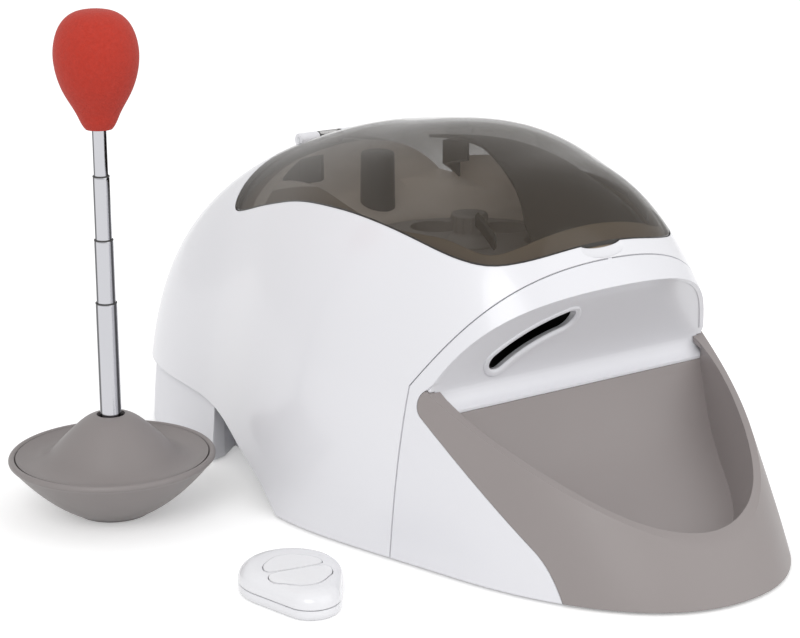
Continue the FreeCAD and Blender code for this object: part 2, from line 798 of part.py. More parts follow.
# Each contact is a plate on the bay's end wall with a sprung leaf for each row of cells.
cell_end = CELL_CLEARANCE + size("cell_length")
for way, hand in ((-1, "left"), (1, "right")):
    name = f"contact_{hand}"
    wall_side, plate_side, leaf_side = (way * x for x in (bay_half, bay_half - CONTACT_THICKNESS,
                                                          cell_end + 0.3))
    plate = box(f"{name}_plate", (min(wall_side, plate_side), bay_front + 6, cell_axis - CONTACT_HALF_HEIGHT),
                (max(wall_side, plate_side), bay_rear - 6, cell_axis + CONTACT_HALF_HEIGHT))
    leaves = [
        box(f"{name}_leaf_{row_index + 1}",
            (min(plate_side, leaf_side), size("cell_front") + row_index * size("cell_pitch") - LEAF_HALF,
             cell_axis - LEAF_HALF),
            (max(plate_side, leaf_side), size("cell_front") + row_index * size("cell_pitch") + LEAF_HALF,
             cell_axis + LEAF_HALF))
        for row_index in range(2)
    ]
    node(name, fused(name, plate, *leaves))

# ---------------------------------------------------------------- main board and speaker

board_bottom = bay_top + bay_wall + BOARD_POST_HEIGHT
board_top = board_bottom + size("board_thickness")
main_board_parts = [
    box("board_plate", (-42, 108, board_bottom), (42, 166, board_top)),
    box("board_chip", (-8, 130, board_top), (8, 146, board_top + 2)),
    box("board_socket", (16, 152, board_top), (34, 160, board_top + 8)),
]
node("main_board", fused("main_board", *main_board_parts))

SPEAKER_DEPTH = 16.0
node("speaker", turned(
    "speaker",
    [("0", "0"), ("14", "0"), ("14", "8"), ("speaker_radius", "14"), ("speaker_radius", f"{SPEAKER_DEPTH}"),
     ("0", "11")],
    ("52", "10", f"{base_top}")))

# ---------------------------------------------------------------- hopper over the dispensing disc

HOPPER_INSET = 4.5
HOPPER_REAR = 108.0
SHELF_FRONT = 92.0
SHELF_DROP = 5.0
SEAT_REACH = 5.0
CONE_REACH = 160.0
disc_centre = size("disc_centre")
disc_floor = size("disc_floor")
disc_bottom = disc_floor + size("disc_running_gap")
disc_top = disc_bottom + size("disc_thickness")
disc_well = size("disc_radius") + size("disc_side_gap")
hopper_wall = size("hopper_wall")
hopper_bottom = disc_floor - hopper_wall
cone_edge = disc_top + 0.6
cone_lip = cone_edge + size("hopper_slope") * (CONE_REACH - disc_well)
disc_axis = Vector(0, disc_centre, 0)


def spot(radius, height):
    return Vector(radius, 0, height)


def revolved(name, wire, centre):
    """A solid turned about an upright line from an outline of (radius, height) spots."""
    solid = Part.Face(wire).revolve(Vector(), Vector(0, 0, 1), 360)
    solid.translate(centre)
    return feature(name, solid)


def everything_behind(name, front):
    return box(name, (-FAR / 2, front, -FAR), (FAR / 2, FAR, FAR))


hopper_cone = revolved(
    "hopper_cone",
    outline(spot(0, disc_floor), spot(disc_well, disc_floor), spot(disc_well, cone_edge),
            spot(CONE_REACH, cone_lip), spot(CONE_REACH, FAR), spot(0, FAR)), disc_axis)
disc_space = revolved(
    "disc_space",
    outline(spot(0, disc_floor), spot(disc_well, disc_floor), spot(disc_well, cone_edge + 1),
            spot(0, cone_edge + 1)), disc_axis)
tub_space = lid_prism("tub_space", -HOPPER_INSET - hopper_wall, LID_PRISM_BOTTOM, HOPPER_REAR - hopper_wall)
hopper_inside = shared("hopper_inside", hopper_cone, fused("hopper_plan", tub_space, disc_space))
hopper_under = revolved(
    "hopper_under",
    outline(spot(disc_well + hopper_wall, 0), spot(CONE_REACH, 0), spot(CONE_REACH, cone_lip - hopper_wall),
            spot(disc_well + hopper_wall, cone_edge - hopper_wall)), disc_axis)

seat_depth = wall + size("seat_gap")
seat_form = feature("seat_form", styled_form(seat_depth))
seat_inner_form = feature("seat_inner_form", styled_form(seat_depth + hopper_wall))
shelf_form = feature("shelf_form", styled_form(wall + SHELF_DROP))
shelf_inner_form = feature("shelf_inner_form", styled_form(wall + SHELF_DROP + hopper_wall))
behind_shelf = everything_behind("behind_shelf", SHELF_FRONT)
seat_band = shared("seat_band", cut("seat_skin", seat_form, seat_inner_form),
                   lid_prism("seat_outside", SEAT_REACH, LID_PRISM_BOTTOM))
hopper_seat = cut("hopper_seat", seat_band, lid_prism("seat_inside", -SEAT_REACH, LID_PRISM_BOTTOM),
                  behind_shelf)
hopper_shelf = shared("hopper_shelf", cut("shelf_skin", shelf_form, shelf_inner_form),
                      lid_prism("shelf_outside", SEAT_REACH, LID_PRISM_BOTTOM), behind_shelf)
hopper_mass = shared("hopper_mass", seat_form,
                     lid_prism("hopper_outside", -HOPPER_INSET, hopper_bottom, HOPPER_REAR))
hopper_block = cut("hopper_block", hopper_mass, hopper_under, cut("above_shelf", behind_shelf, shelf_form))
DROP_RADIUS = 14.0
DROP_ANGLE = 232.0
drop_x = size("pocket_circle") * math.cos(math.radians(DROP_ANGLE))
drop_y = disc_centre + size("pocket_circle") * math.sin(math.radians(DROP_ANGLE))
drop_hole = cylinder("drop_hole", f"{DROP_RADIUS}", "hopper_wall + 2",
                     (f"{drop_x}", f"{drop_y}", f"{hopper_bottom - 1}"))
shaft_hole = cylinder("shaft_hole", "shaft_radius + shaft_fit", "hopper_wall + 2",
                      ("0", "disc_centre", f"{hopper_bottom - 1}"))
node("treat_hopper", cut("treat_hopper", fused("hopper_solid", hopper_block, hopper_seat, hopper_shelf),
                         hopper_inside, drop_hole, shaft_hole))

POST_REAR = 86.0
post_blank = revolved(
    "post_blank",
    outline(spot(0, disc_floor), spot(size("post_radius") + 0.6, disc_floor),
            spot(size("post_radius"), size("post_height") - 1), spot(size("post_radius") - 1, size("post_height")),
            spot(0, size("post_height"))), Vector(0, POST_REAR, 0))
node("hopper_post", shared("hopper_post", post_blank, hopper_inside))

# Smoked guard over the front right of the hopper: a second skin under the lid.
HOOD_DEPTH = 9.0
HOOD_EDGE = [plan(12, 56), plan(8, 28), plan(0, 0), plan(-12, -39), plan(-28, -74)]
hood_wire = outline(HOOD_EDGE[0], HOOD_EDGE[1:], plan(-36, -120), plan(120, -120), plan(120, 30))
hood_plan = feature("hood_plan", Part.Face(hood_wire).extrude(Vector(0, 0, FAR)))
hood_skin = cut("hood_skin", feature("hood_form", styled_form(HOOD_DEPTH)),
                feature("hood_inner_form", styled_form(HOOD_DEPTH + size("hood_wall"))))
hood_room = lid_prism("hood_room", -HOPPER_INSET - hopper_wall - 2 * size("seat_gap"), LID_PRISM_BOTTOM)
hood_foot = revolved(
    "hood_foot",
    outline(spot(0, cone_edge), spot(disc_well, cone_edge), spot(CONE_REACH, cone_lip), spot(CONE_REACH, FAR),
            spot(0, FAR)), disc_axis + Vector(0, 0, size("seat_gap")))
node("hopper_guard", shared("hopper_guard", hood_skin, hood_plan, hood_room, hood_foot))

# ---------------------------------------------------------------- dispensing disc


def round_sketch(body, name, across, up, radius):
    """A circle on the body's XY plane, tied to the sheet."""
    sketch = body.newObject("Sketcher::SketchObject", name)
    sketch.AttachmentSupport = [(plane_of(body, "XY_Plane"), "")]
    sketch.MapMode = "FlatFace"
    sketch.addGeometry(Part.Circle(Vector(1, 1, 0), Vector(0, 0, 1), 1), False)
    for kind, text in (("DistanceX", across), ("DistanceY", up)):
        index = sketch.addConstraint(Sketcher.Constraint(kind, -1, 1, 0, 3, 1.0))
        sketch.setExpression(f"Constraints[{index}]", linked(text))
    index = sketch.addConstraint(Sketcher.Constraint("Radius", 0, 1.0))
    sketch.setExpression(f"Constraints[{index}]", linked(radius))
    return sketch


disc = doc.addObject("PartDesign::Body", "treat_disc")
disc_pad = disc.newObject("PartDesign::Pad", "disc_pad")
disc_pad.Profile = round_sketch(disc, "disc_outline", "0", "0", "disc_radius")
bind(disc_pad, Length="disc_thickness")
doc.recompute()


def disc_pocket(name, across, up, radius):
    """A hole through the whole disc."""
    pocket = disc.newObject("PartDesign::Pocket", name)
    pocket.Profile = round_sketch(disc, name + "_outline", across, up, radius)
    pocket.Type = "ThroughAll"
    pocket.Reversed = True
    doc.recompute()
    return pocket


disc_pocket("disc_bore", "0", "0", "shaft_radius")
drop_cos = f"{math.cos(math.radians(DROP_ANGLE))}"
drop_sin = f"{math.sin(math.radians(DROP_ANGLE))}"
first_pocket = disc_pocket("treat_pocket", f"pocket_circle * {drop_cos}", f"pocket_circle * {drop_sin}",
                           "pocket_radius")
pockets = disc.newObject("PartDesign::PolarPattern", "treat_pockets")
pockets.Originals = [first_pocket]
pockets.Axis = (first_pocket.Profile[0], ["N_Axis"])
pockets.Angle = 360
bind(pockets, Occurrences="pocket_count")
disc.Tip = pockets
place(disc, ("0", "disc_centre", "disc_floor + disc_running_gap"))
node("treat_disc", disc)

node("disc_knob", turned(
    "disc_knob",
    [("0", "0"), ("knob_radius", "0"), ("knob_radius - 6", "6"), ("knob_radius - 5", "16"), ("0", "17")],
    ("0", "disc_centre", f"{disc_top}")))

# ---------------------------------------------------------------- gear drive under the disc

PRESSURE_ANGLE = math.radians(20.0)
ADDENDUM = 0.65
DEDENDUM = 0.9
ROOT_CLEARANCE = 2.0
gear_bottom = size("gear_height")
gear_top = gear_bottom + size("gear_width")
bracket_bottom = gear_bottom - ROOT_CLEARANCE - size("bracket_thickness")
centre_distance = size("gear_module") * (size("gear_teeth") + size("pinion_teeth")) / 2
pinion_axis = Vector(0, disc_centre + centre_distance, 0)


def involute_angle(radius, base_radius):
    """How far round an involute flank has turned where it meets a radius."""
    if radius <= base_radius:
        return 0.0
    pressure = math.acos(base_radius / radius)
    return math.tan(pressure) - pressure


def gear_wheel(teeth, first_tooth):
    """A spur gear with involute flanks, thinned for backlash, standing on the gear level."""
    module = size("gear_module")
    pitch_radius = module * teeth / 2
    base_radius = pitch_radius * math.cos(PRESSURE_ANGLE)
    root_radius = pitch_radius - DEDENDUM * module
    tip_radius = pitch_radius + ADDENDUM * module
    half_tooth = math.pi / (2 * teeth) - size("gear_backlash") / (2 * pitch_radius)
    turn_at_pitch = involute_angle(pitch_radius, base_radius)

    def flank(radius, middle, way):
        turn = middle + way * (half_tooth + turn_at_pitch - involute_angle(radius, base_radius))
        return Vector(radius * math.cos(turn), radius * math.sin(turn), gear_bottom)

    corners = []
    for index in range(teeth):
        middle = first_tooth + 2 * math.pi * index / teeth
        corners += [flank(root_radius, middle, -1), flank(tip_radius, middle, -1)]
        corners += [flank(tip_radius, middle, 1), flank(root_radius, middle, 1)]
    return Part.Face(Part.makePolygon([*corners, corners[0]])).extrude(Vector(0, 0, size("gear_width")))


def upright(name, radius, centre, bottom, top):
    """A round bar standing on a plan point."""
    return cylinder(name, radius, f"{top - bottom}", (f"{centre.x}", f"{centre.y}", f"{bottom}"))


gear_teeth = int(size("gear_teeth"))
pinion_teeth = int(size("pinion_teeth"))
gear_blank = feature("gear_blank", gear_wheel(gear_teeth, math.pi / 2), Placement(disc_axis, Rotation()))
pinion_blank = feature("pinion_blank", gear_wheel(pinion_teeth, -math.pi / 2 + math.pi / pinion_teeth),
                       Placement(pinion_axis, Rotation()))
node("drive_gear", cut("drive_gear", gear_blank,
                       upright("gear_bore", "shaft_radius", disc_axis, gear_bottom - 1, gear_top + 1)))
node("drive_shaft", upright("drive_shaft", "shaft_radius", disc_axis, bracket_bottom, disc_top))
node("motor_pinion", fused("motor_pinion", pinion_blank,
                           upright("motor_shaft", "motor_shaft_radius", pinion_axis,
                                   bracket_bottom + 0.2, gear_top + 2)))
node("gear_motor", upright("gear_motor", "motor_radius", pinion_axis, bracket_bottom - size("motor_length"),
                           bracket_bottom))
BRACKET_HALF = 31.0
bracket_plate = box("bracket_plate", (-BRACKET_HALF, disc_centre - 13, bracket_bottom),
                    (BRACKET_HALF, pinion_axis.y + 21, gear_bottom - ROOT_CLEARANCE))
bracket_post = size("bracket_post_half")
bracket_posts = [
    box(f"bracket_post_{index}", (x - bracket_post, y - bracket_post, gear_bottom - ROOT_CLEARANCE - 1),
        (x + bracket_post, y + bracket_post, hopper_bottom))
    for index, (x, y) in enumerate([(-27, disc_centre - 9), (27, disc_centre - 9),
                                    (-27, pinion_axis.y + 16), (27, pinion_axis.y + 16)])
]
bracket_bores = [
    upright("shaft_bearing", "shaft_radius + shaft_fit", disc_axis, bracket_bottom - 1, gear_bottom),
    upright("motor_bearing", "motor_shaft_radius + shaft_fit", pinion_axis, bracket_bottom - 1, gear_bottom),
]
bracket_solid = fused("bracket_solid", bracket_plate, *bracket_posts)
node("motor_bracket", cut("motor_bracket", bracket_solid, *bracket_bores))

# ---------------------------------------------------------------- chute from the drop hole to the outlet


def chute_profile(inset, ahead):
    """Side view of the chute, in from its outer walls; the mouth follows the panel."""
    rear = drop_y + DROP_RADIUS + 2 - inset
    low_rear, low_front = side(rear, 100 + inset), side(-74.5, 85.5 + inset)
    mouth = [side(-81 - ahead, 98.5), side(-91 - ahead, 117 - inset)]
    return outline(low_rear, low_front, *([side(-74.5 - ahead, 85.5 + inset)] if ahead else []), *mouth,
                   side(-66, 117 - inset), side(-62 - inset, hopper_bottom - inset),
                   side(rear, hopper_bottom - inset))


def chute_solid(left, right, wire):
    return Part.Face(wire).extrude(Vector(right - left, 0, 0)).translated(Vector(left, 0, 0))


chute_wall = size("chute_wall")
chute_left, chute_right = drop_x - DROP_RADIUS - 17, drop_x + DROP_RADIUS + 2
chute_shell = cut("chute_shell",
                  feature("chute_outside", chute_solid(chute_left, chute_right, chute_profile(0, 0))),
                  feature("chute_inside", chute_solid(chute_left + chute_wall, chute_right - chute_wall,
                                                      chute_profile(chute_wall, 20))))
node("treat_chute", cut("treat_chute", chute_shell,
                        upright("chute_inlet", f"{DROP_RADIUS}", Vector(drop_x, drop_y, 0),
                                hopper_bottom - 5, hopper_bottom + 1)))

# ---------------------------------------------------------------- rear control panel

CONTROL_SKIN = 0.5
CONTROL_WALL = 2.6
WINDOW_HALF_WIDTH = 16.0
WINDOW_HALF_HEIGHT = 7.5
WINDOW_UP = 8.0
WINDOW_DEPTH = 1.2
SWITCH_UP = -14.0
BUTTON_UP = -9.0
BUTTON_ACROSS = 24.0
BOARD_DEPTH = 11.0
control_gap = size("control_button_gap")


def control_prism(name, half_width, half_height, corner, bottom=-30.0, top=30.0, across=0.0, up=0.0):
    """A rounded block square to the control panel, about a point on it."""
    shape = rounded_plate(half_width, half_height, corner, bottom, top)
    return feature(name, shape, control_place.multiply(Placement(Vector(across, up, 0), Rotation())))


def control_pin(name, radius, bottom, top, across, up):
    """A round bar square to the control panel."""
    shape = Part.makeCylinder(radius, top - bottom, Vector(across, up, bottom))
    return feature(name, shape, control_place)


def form_skin(name, outer_inset, thickness):
    """A skin that follows the styled form."""
    return feature(name, styled_form(outer_inset).cut(styled_form(outer_inset + thickness)))


half_width, half_height = size("control_half_width"), size("control_half_height")
plate_face = shared("plate_face", form_skin("plate_skin", CONTROL_SKIN, CONTROL_WALL),
                    control_prism("plate_outline", half_width, half_height, CONTROL_CORNER))
corner_posts = [
    control_prism(f"control_post_{index}", 2.5, 2.5, 0, -BOARD_DEPTH, -4, across, up)
    for index, (across, up) in enumerate([(-32, -17), (32, -17), (-32, 17), (32, 17)])
]
post_ends = shared("post_ends", fused("control_posts", *corner_posts),
                   feature("post_form", styled_form(CONTROL_SKIN + CONTROL_WALL / 2)))
window_recess = cut("window_recess",
                    control_prism("window_hole", WINDOW_HALF_WIDTH, WINDOW_HALF_HEIGHT, 0, up=WINDOW_UP),
                    feature("window_floor", styled_form(CONTROL_SKIN + WINDOW_DEPTH + 0.2)))
button_holes = [
    control_pin(f"button_hole_{index}", size("control_button_radius") + control_gap, -30, 30,
                way * BUTTON_ACROSS, BUTTON_UP)
    for index, way in enumerate((-1, 1))
]
KNOB_HALF = 3.0
KNOB_HALF_HEIGHT = 2.2
SWITCH_GAP = 0.4
travel = size("switch_travel")
switch_slot = control_prism("switch_slot", travel / 2 + KNOB_HALF + SWITCH_GAP,
                            KNOB_HALF_HEIGHT + SWITCH_GAP, 0, up=SWITCH_UP)
node("control_panel", cut("control_panel", fused("panel_solid", plate_face, post_ends),
                          window_recess, switch_slot, *button_holes))
node("control_window", shared("control_window", form_skin("window_skin", CONTROL_SKIN, WINDOW_DEPTH),
                              control_prism("window_outline", WINDOW_HALF_WIDTH - 0.2, WINDOW_HALF_HEIGHT - 0.2,
                                            0, up=WINDOW_UP)))
BUTTON_TOP = 1.4
BUTTON_BOTTOM = -8.8
BUTTON_FLANGE = 1.2
BUTTON_FLANGE_HALF = 3.0
for way, hand in ((-1, "left"), (1, "right")):
    name = f"control_button_{hand}"
    cap = control_pin(f"{name}_cap", size("control_button_radius"), BUTTON_BOTTOM, BUTTON_TOP,
                      way * BUTTON_ACROSS, BUTTON_UP)
    skirt = control_prism(f"{name}_skirt", size("control_button_radius") + BUTTON_FLANGE, BUTTON_FLANGE_HALF, 0,
                          BUTTON_BOTTOM, BUTTON_BOTTOM + BUTTON_FLANGE, way * BUTTON_ACROSS, BUTTON_UP)
    node(name, fused(name, cap, skirt))
knob_rest = -travel / 2
knob_bar = control_prism("knob_bar", KNOB_HALF, KNOB_HALF_HEIGHT, 0, -6, 1.6, knob_rest, SWITCH_UP)
knob_slider = control_prism("knob_slider", KNOB_HALF + 3, KNOB_HALF_HEIGHT + 1.6, 0, -7, -5.6, knob_rest,
                            SWITCH_UP)
node("power_switch", fused("power_switch", knob_bar, knob_slider))
node("control_board", control_prism("control_board", 38, 21, 0, -BOARD_DEPTH - size("board_thickness"),
                                    -BOARD_DEPTH))

# ---------------------------------------------------------------- target wand

wand_axis = Vector(size("wand_x"), size("wand_y"), 0)
dish_radius, dish_foot, dish_height = size("dish_radius"), size("dish_foot_radius"), size("dish_height")
dish_wall = size("dish_wall")
dome_height = size("dome_height")
tube_radii = [size("tube_base_radius") - index * (size("tube_wall") + size("tube_fit")) for index in range(4)]
TUBE_SOCKET_FIT = 0.05
COLLAR_WALL = 1.3
COLLAR_LIFT = 0.8


def dish_spot(across, up):
    """A spot on the dish: a share of the way from foot to rim, and a share of the rim's height."""
    return spot(dish_foot + (dish_radius - dish_foot) * across, dish_height * up)


dish_wire = outline(
    spot(0, 0), spot(dish_foot - 1.4, 0), dish_spot(0, 0.045), dish_spot(0.99, 0.95), dish_spot(1, 0.985),
    dish_spot(0.97, 1.02), dish_spot(0.927, 1.02), dish_spot(0.908, 0.985), dish_spot(0, 0.15),
    spot(dish_foot - 1, dish_wall), spot(0, dish_wall))
node("wand_dish", revolved("wand_dish", dish_wire, wand_axis))

# The cover closes the dish: from its edge inside the rim it dips, then rises in a dome to the collar.
collar_radius = tube_radii[0] + TUBE_SOCKET_FIT + COLLAR_WALL
cover_fit = size("tray_fit")
COVER_WALL = 2.0
dome_rise = dome_height - dish_height
cover_top = [dish_spot(0.778, 0.921), dish_spot(0.603, 0.832), dish_spot(0.444, 0.857),
             spot(dish_radius * 0.495, dish_height + dome_rise * 0.13),
             spot(dish_radius * 0.337, dish_height + dome_rise * 0.605),
             spot(dish_radius * 0.218, dish_height + dome_rise * 0.89)]
cover_under = [spot(dish_radius * 0.32, dish_height + dome_rise * 0.52), dish_spot(0.41, 0.79),
               dish_spot(0.603, 0.75)]
cover_wire = outline(
    dish_spot(0.876, 1.0), *cover_top, spot(collar_radius + cover_fit, dome_height),
    spot(collar_radius + cover_fit, dome_height - COVER_WALL), *cover_under, dish_spot(0.876, 0.972))
node("dish_cover", revolved("dish_cover", cover_wire, wand_axis))

SOCKET_FLANGE = 9.0
socket_bottom = dish_wall
tube_bottom = socket_bottom + 4.0
socket_bore = tube_radii[0] + TUBE_SOCKET_FIT
node("wand_socket", revolved("wand_socket", outline(
    spot(0, socket_bottom), spot(SOCKET_FLANGE, socket_bottom), spot(SOCKET_FLANGE, tube_bottom),
    spot(collar_radius, tube_bottom), spot(collar_radius, dome_height + COLLAR_LIFT),
    spot(socket_bore, dome_height + COLLAR_LIFT),
    spot(socket_bore, tube_bottom), spot(0, tube_bottom)), wand_axis))
WEIGHT_RISE = 13.0
weight_bottom = dish_wall + 0.3
node("dish_weight", revolved("dish_weight", outline(
    spot(SOCKET_FLANGE + 0.3, weight_bottom), spot(dish_foot - 3.2, weight_bottom),
    spot(dish_foot + 8, weight_bottom + 8.6), spot(dish_foot + 8, weight_bottom + WEIGHT_RISE),
    spot(SOCKET_FLANGE + 0.3, weight_bottom + WEIGHT_RISE)), wand_axis))

tip_sink = 16.0
tube_top = dome_height + COLLAR_LIFT
spans = [(tube_bottom, size("tube_first_visible"))]
spans += [(None, size("tube_visible")), (None, size("tube_visible")), (None, size("tube_tip_visible"))]
for index, (radius, (start, visible)) in enumerate(zip(tube_radii, spans)):
    bottom = tube_top - size("tube_overlap") if start is None else start
    tube_top += visible
    bore = radius - size("tube_wall")
    end = tube_top + (tip_sink if index == 3 else 0)
    name = f"wand_tube_{index + 1}"
    node(name, revolved(name, outline(
        spot(bore, bottom), spot(radius, bottom), spot(radius, end), spot(bore, end)), wand_axis))

TIP_SHAPE = [(0.50, 0.12), (0.78, 0.3), (0.95, 0.47), (1.0, 0.62), (0.94, 0.77), (0.78, 0.89), (0.5, 0.97),
             (0.22, 0.995)]
tip_line = [spot(size("tip_radius") * share, tube_top + size("tip_height") * rise)
            for share, rise in TIP_SHAPE]
tip_bore = tube_radii[3] + TUBE_SOCKET_FIT
node("foam_tip", revolved("foam_tip", outline(
    spot(tip_bore, tube_top), spot(size("tip_neck_radius"), tube_top),
    *tip_line, spot(0, tube_top + size("tip_height")), spot(0, tube_top + tip_sink + 0.5),
    spot(tip_bore, tube_top + tip_sink + 0.5)), wand_axis))

# ---------------------------------------------------------------- hand remote

remote_place = Placement(Vector(size("remote_x"), size("remote_y"), 0),
                         Rotation(Vector(0, 0, 1), size("remote_turn")))
remote_height = size("remote_height")
remote_seam = size("remote_seam")
remote_wall = size("remote_wall")
SEAM_GAP = 0.3
REMOTE_BEVEL = 1.2
OVAL_CENTRE = (-3.0, 1.5)
OVAL_HALF = (21.8, 14.0)
OVAL_SPLIT = 0.8


def egg(inset, bottom, top):
    """The remote's plan, a wide and a narrow arc with straight sides, as a flat-ended block."""
    wide, narrow = size("remote_wide_radius") - inset, size("remote_narrow_radius") - inset
    far_centre = size("remote_half_length") - size("remote_wide_radius")
    near_centre = size("remote_narrow_radius") - size("remote_half_length")
    lean = math.asin((wide - narrow) / (far_centre - near_centre))
    across, along = math.cos(lean), math.sin(lean)

    def edge(centre, radius, way):
        return Vector(centre - radius * along, way * radius * across, bottom)

    far_left, far_right = edge(far_centre, wide, 1), edge(far_centre, wide, -1)
    near_left, near_right = edge(near_centre, narrow, 1), edge(near_centre, narrow, -1)
    wire = Part.Wire([
        Part.Arc(far_right, Vector(far_centre + wide, 0, bottom), far_left).toShape(),
        Part.makeLine(far_left, near_left),
        Part.Arc(near_left, Vector(near_centre - narrow, 0, bottom), near_right).toShape(),
        Part.makeLine(near_right, far_right),
    ])
    return Part.Face(wire).extrude(Vector(0, 0, top - bottom))


def oval(grow, bottom, top, low=-FAR, high=FAR):
    """The buttons' oval, cut between two lines across it."""
    ellipse = Part.Ellipse(Vector(*OVAL_CENTRE, bottom), OVAL_HALF[0] + grow, OVAL_HALF[1] + grow)
    block_of = Part.Face(Part.Wire(ellipse.toShape())).extrude(Vector(0, 0, top - bottom))
    return block_of.common(Part.makeBox(high - low, FAR, FAR, Vector(low, -FAR / 2, bottom - 1)))


def rim_at(block_of, height):
    """The edges of a block that lie at one height."""
    return [edge for edge in block_of.Edges
            if abs(edge.BoundBox.ZMin - height) < 1e-3 and abs(edge.BoundBox.ZMax - height) < 1e-3]


top_round = min(4.6, remote_height - remote_seam - SEAM_GAP - 0.5)
remote_lid = egg(0, remote_seam + SEAM_GAP, remote_height)
remote_roof = remote_lid.makeFillet(top_round, rim_at(remote_lid, remote_height))
roof_hollow = egg(remote_wall, remote_seam, remote_height - top_round)
roof_crown = egg(top_round, remote_seam, remote_height - remote_wall)
node("remote_top", feature(
    "remote_top", remote_roof.cut(roof_hollow).cut(roof_crown).cut(oval(0, remote_seam, remote_height + 1)),
    remote_place))

remote_case = egg(0, 0, remote_seam)
remote_tray = remote_case.makeChamfer(REMOTE_BEVEL, rim_at(remote_case, 0))
tray_space = egg(remote_wall, remote_wall, remote_seam + 1)
post_top = remote_seam - 0.4
board_posts_low = [
    Part.makeBox(4, 4, post_top - remote_wall + 0.5, Vector(u - 2, v - 2, remote_wall - 0.5))
    for u, v in ((25, 0), (-25, 0), (0, 16), (0, -16))
]
node("remote_bottom",
     feature("remote_bottom", remote_tray.cut(tray_space).fuse(board_posts_low), remote_place))
remote_board = egg(remote_wall + SEAM_GAP, post_top, post_top + 1.2)
node("remote_board", feature("remote_board", remote_board, remote_place))
node("remote_cell", feature("remote_cell", Part.makeCylinder(size("coin_radius"), 3.2, Vector(0, 0, remote_wall)),
                            remote_place))
button_gap = size("remote_button_gap")
button_bottom = post_top + 1.2 + size("remote_button_travel") + 0.1
BUTTON_PROUD = 0.5
SKIRT = 1.2
skirt_room = egg(top_round + button_gap, button_bottom, button_bottom + 1)
for name, low, high in (("remote_button_far", OVAL_SPLIT + button_gap / 2, FAR),
                        ("remote_button_near", -FAR, OVAL_SPLIT - button_gap / 2)):
    cap = oval(-button_gap, button_bottom, remote_height + BUTTON_PROUD, low, high)
    skirt = oval(SKIRT, button_bottom, button_bottom + 1, low, high).common(skirt_room)
    node(name, feature(name, cap.fuse(skirt), remote_place))

# ---------------------------------------------------------------- checks and export

doc.recompute()

for item in doc.Objects:
    if "Invalid" in item.State or "Error" in item.State:
        raise RuntimeError(f"{item.Label} did not recompute: {item.State}")
for part in nodes:
    if part.Shape.isNull() or not part.Shape.isValid():
        raise RuntimeError(f"{part.Label} has no valid shape")

os.makedirs("parts", exist_ok=True)
for part in nodes:
    part.Shape.exportStep(os.path.join("parts", f"{part.Label}.step"))
    print(part.Label, len(part.Shape.Solids), round(part.Shape.Volume))
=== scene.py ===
"""Finished pieces and materials of the treat dispenser set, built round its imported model."""
import logging
import math
from collections.abc import Callable, Iterable, Sequence
from dataclasses import dataclass, field
from enum import Enum
from typing import ClassVar

import bmesh
import bpy
import numpy as np
from mathutils import Matrix, Vector
from mathutils.bvhtree import BVHTree


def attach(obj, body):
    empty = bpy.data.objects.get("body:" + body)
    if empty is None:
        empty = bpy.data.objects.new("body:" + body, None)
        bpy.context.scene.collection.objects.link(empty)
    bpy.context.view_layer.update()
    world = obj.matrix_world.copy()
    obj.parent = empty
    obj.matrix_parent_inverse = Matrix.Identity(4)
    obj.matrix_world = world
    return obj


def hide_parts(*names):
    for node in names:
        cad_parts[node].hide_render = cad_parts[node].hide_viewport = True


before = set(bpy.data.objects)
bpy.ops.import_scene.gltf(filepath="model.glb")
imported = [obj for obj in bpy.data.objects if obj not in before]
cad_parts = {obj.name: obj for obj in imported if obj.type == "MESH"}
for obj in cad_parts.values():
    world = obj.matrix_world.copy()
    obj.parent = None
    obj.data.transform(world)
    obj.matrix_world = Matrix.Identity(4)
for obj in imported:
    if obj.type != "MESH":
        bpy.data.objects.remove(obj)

Pair = tuple[float, float]
Spot = tuple[float, float, float]
Colour = tuple[float, float, float]

LOG = logging.getLogger("treat_dispenser")

# Lengths in millimetres, unless said otherwise.
MM = 0.001  # metres in a millimetre
FAR = 400.0  # past every piece, for tools that cut right through
SIDE = 170.0  # past both sides of the housing
WAND_PLACE: Pair = (-174.0, 65.0)
WELD = 1e-6  # points closer than this are one, in metres
CAD_WELD = 2e-6  # the same for a CAD node's loose triangles

# How curves and shading are drawn.
CURVE_STEPS = 8  # short lines for each span of a drawn curve
CORNER_SHARE = 0.45  # the most of an edge that one rounded corner takes
SOFT_ANGLE = 32.0  # edges past this angle stay sharp, in degrees
CELL_CORNERS = 5  # the most corners of a face on a smooth sheet; a flat underside has more
ON_SHEET = 0.5  # how far a face that lies on a sheet agrees with it at least, as a cosine
BESIDE_SHEET = 0.96  # the same for a face that only borders on it
NEAREST = 1e-7  # keeps a corner's weight finite where a point meets it, in metres

# What the materials share.
SCREEN_GAMMA = 2.2
NOISE_RANGE: Pair = (0.3, 0.7)  # where a noise texture mostly lies
RELIEF = 0.3  # how much of a fine grain shows
BEVEL_SAMPLES = 4


class Operation(Enum):
    """How a tool changes the solid it is used on."""

    CUT = "DIFFERENCE"
    KEEP = "INTERSECT"
    JOIN = "UNION"


# ---------------------------------------------------------------- curves


def end_slope(params: np.ndarray, values: np.ndarray) -> np.ndarray:
    """Finds the slope at the first of up to four points, from the polynomial through them.

    Args:
        params: The curve's parameter at each point.
        values: The points, one a row.

    Returns:
        The slope at the first point.
    """
    count = min(4, len(params))
    slope = np.zeros(values.shape[1])
    for i in range(count):
        others = [j for j in range(count) if j != i]
        scale = np.prod([params[i] - params[j] for j in others])
        rise = sum(np.prod([params[0] - params[k] for k in others if k != j]) for j in others)
        slope += values[i] * rise / scale
    return slope


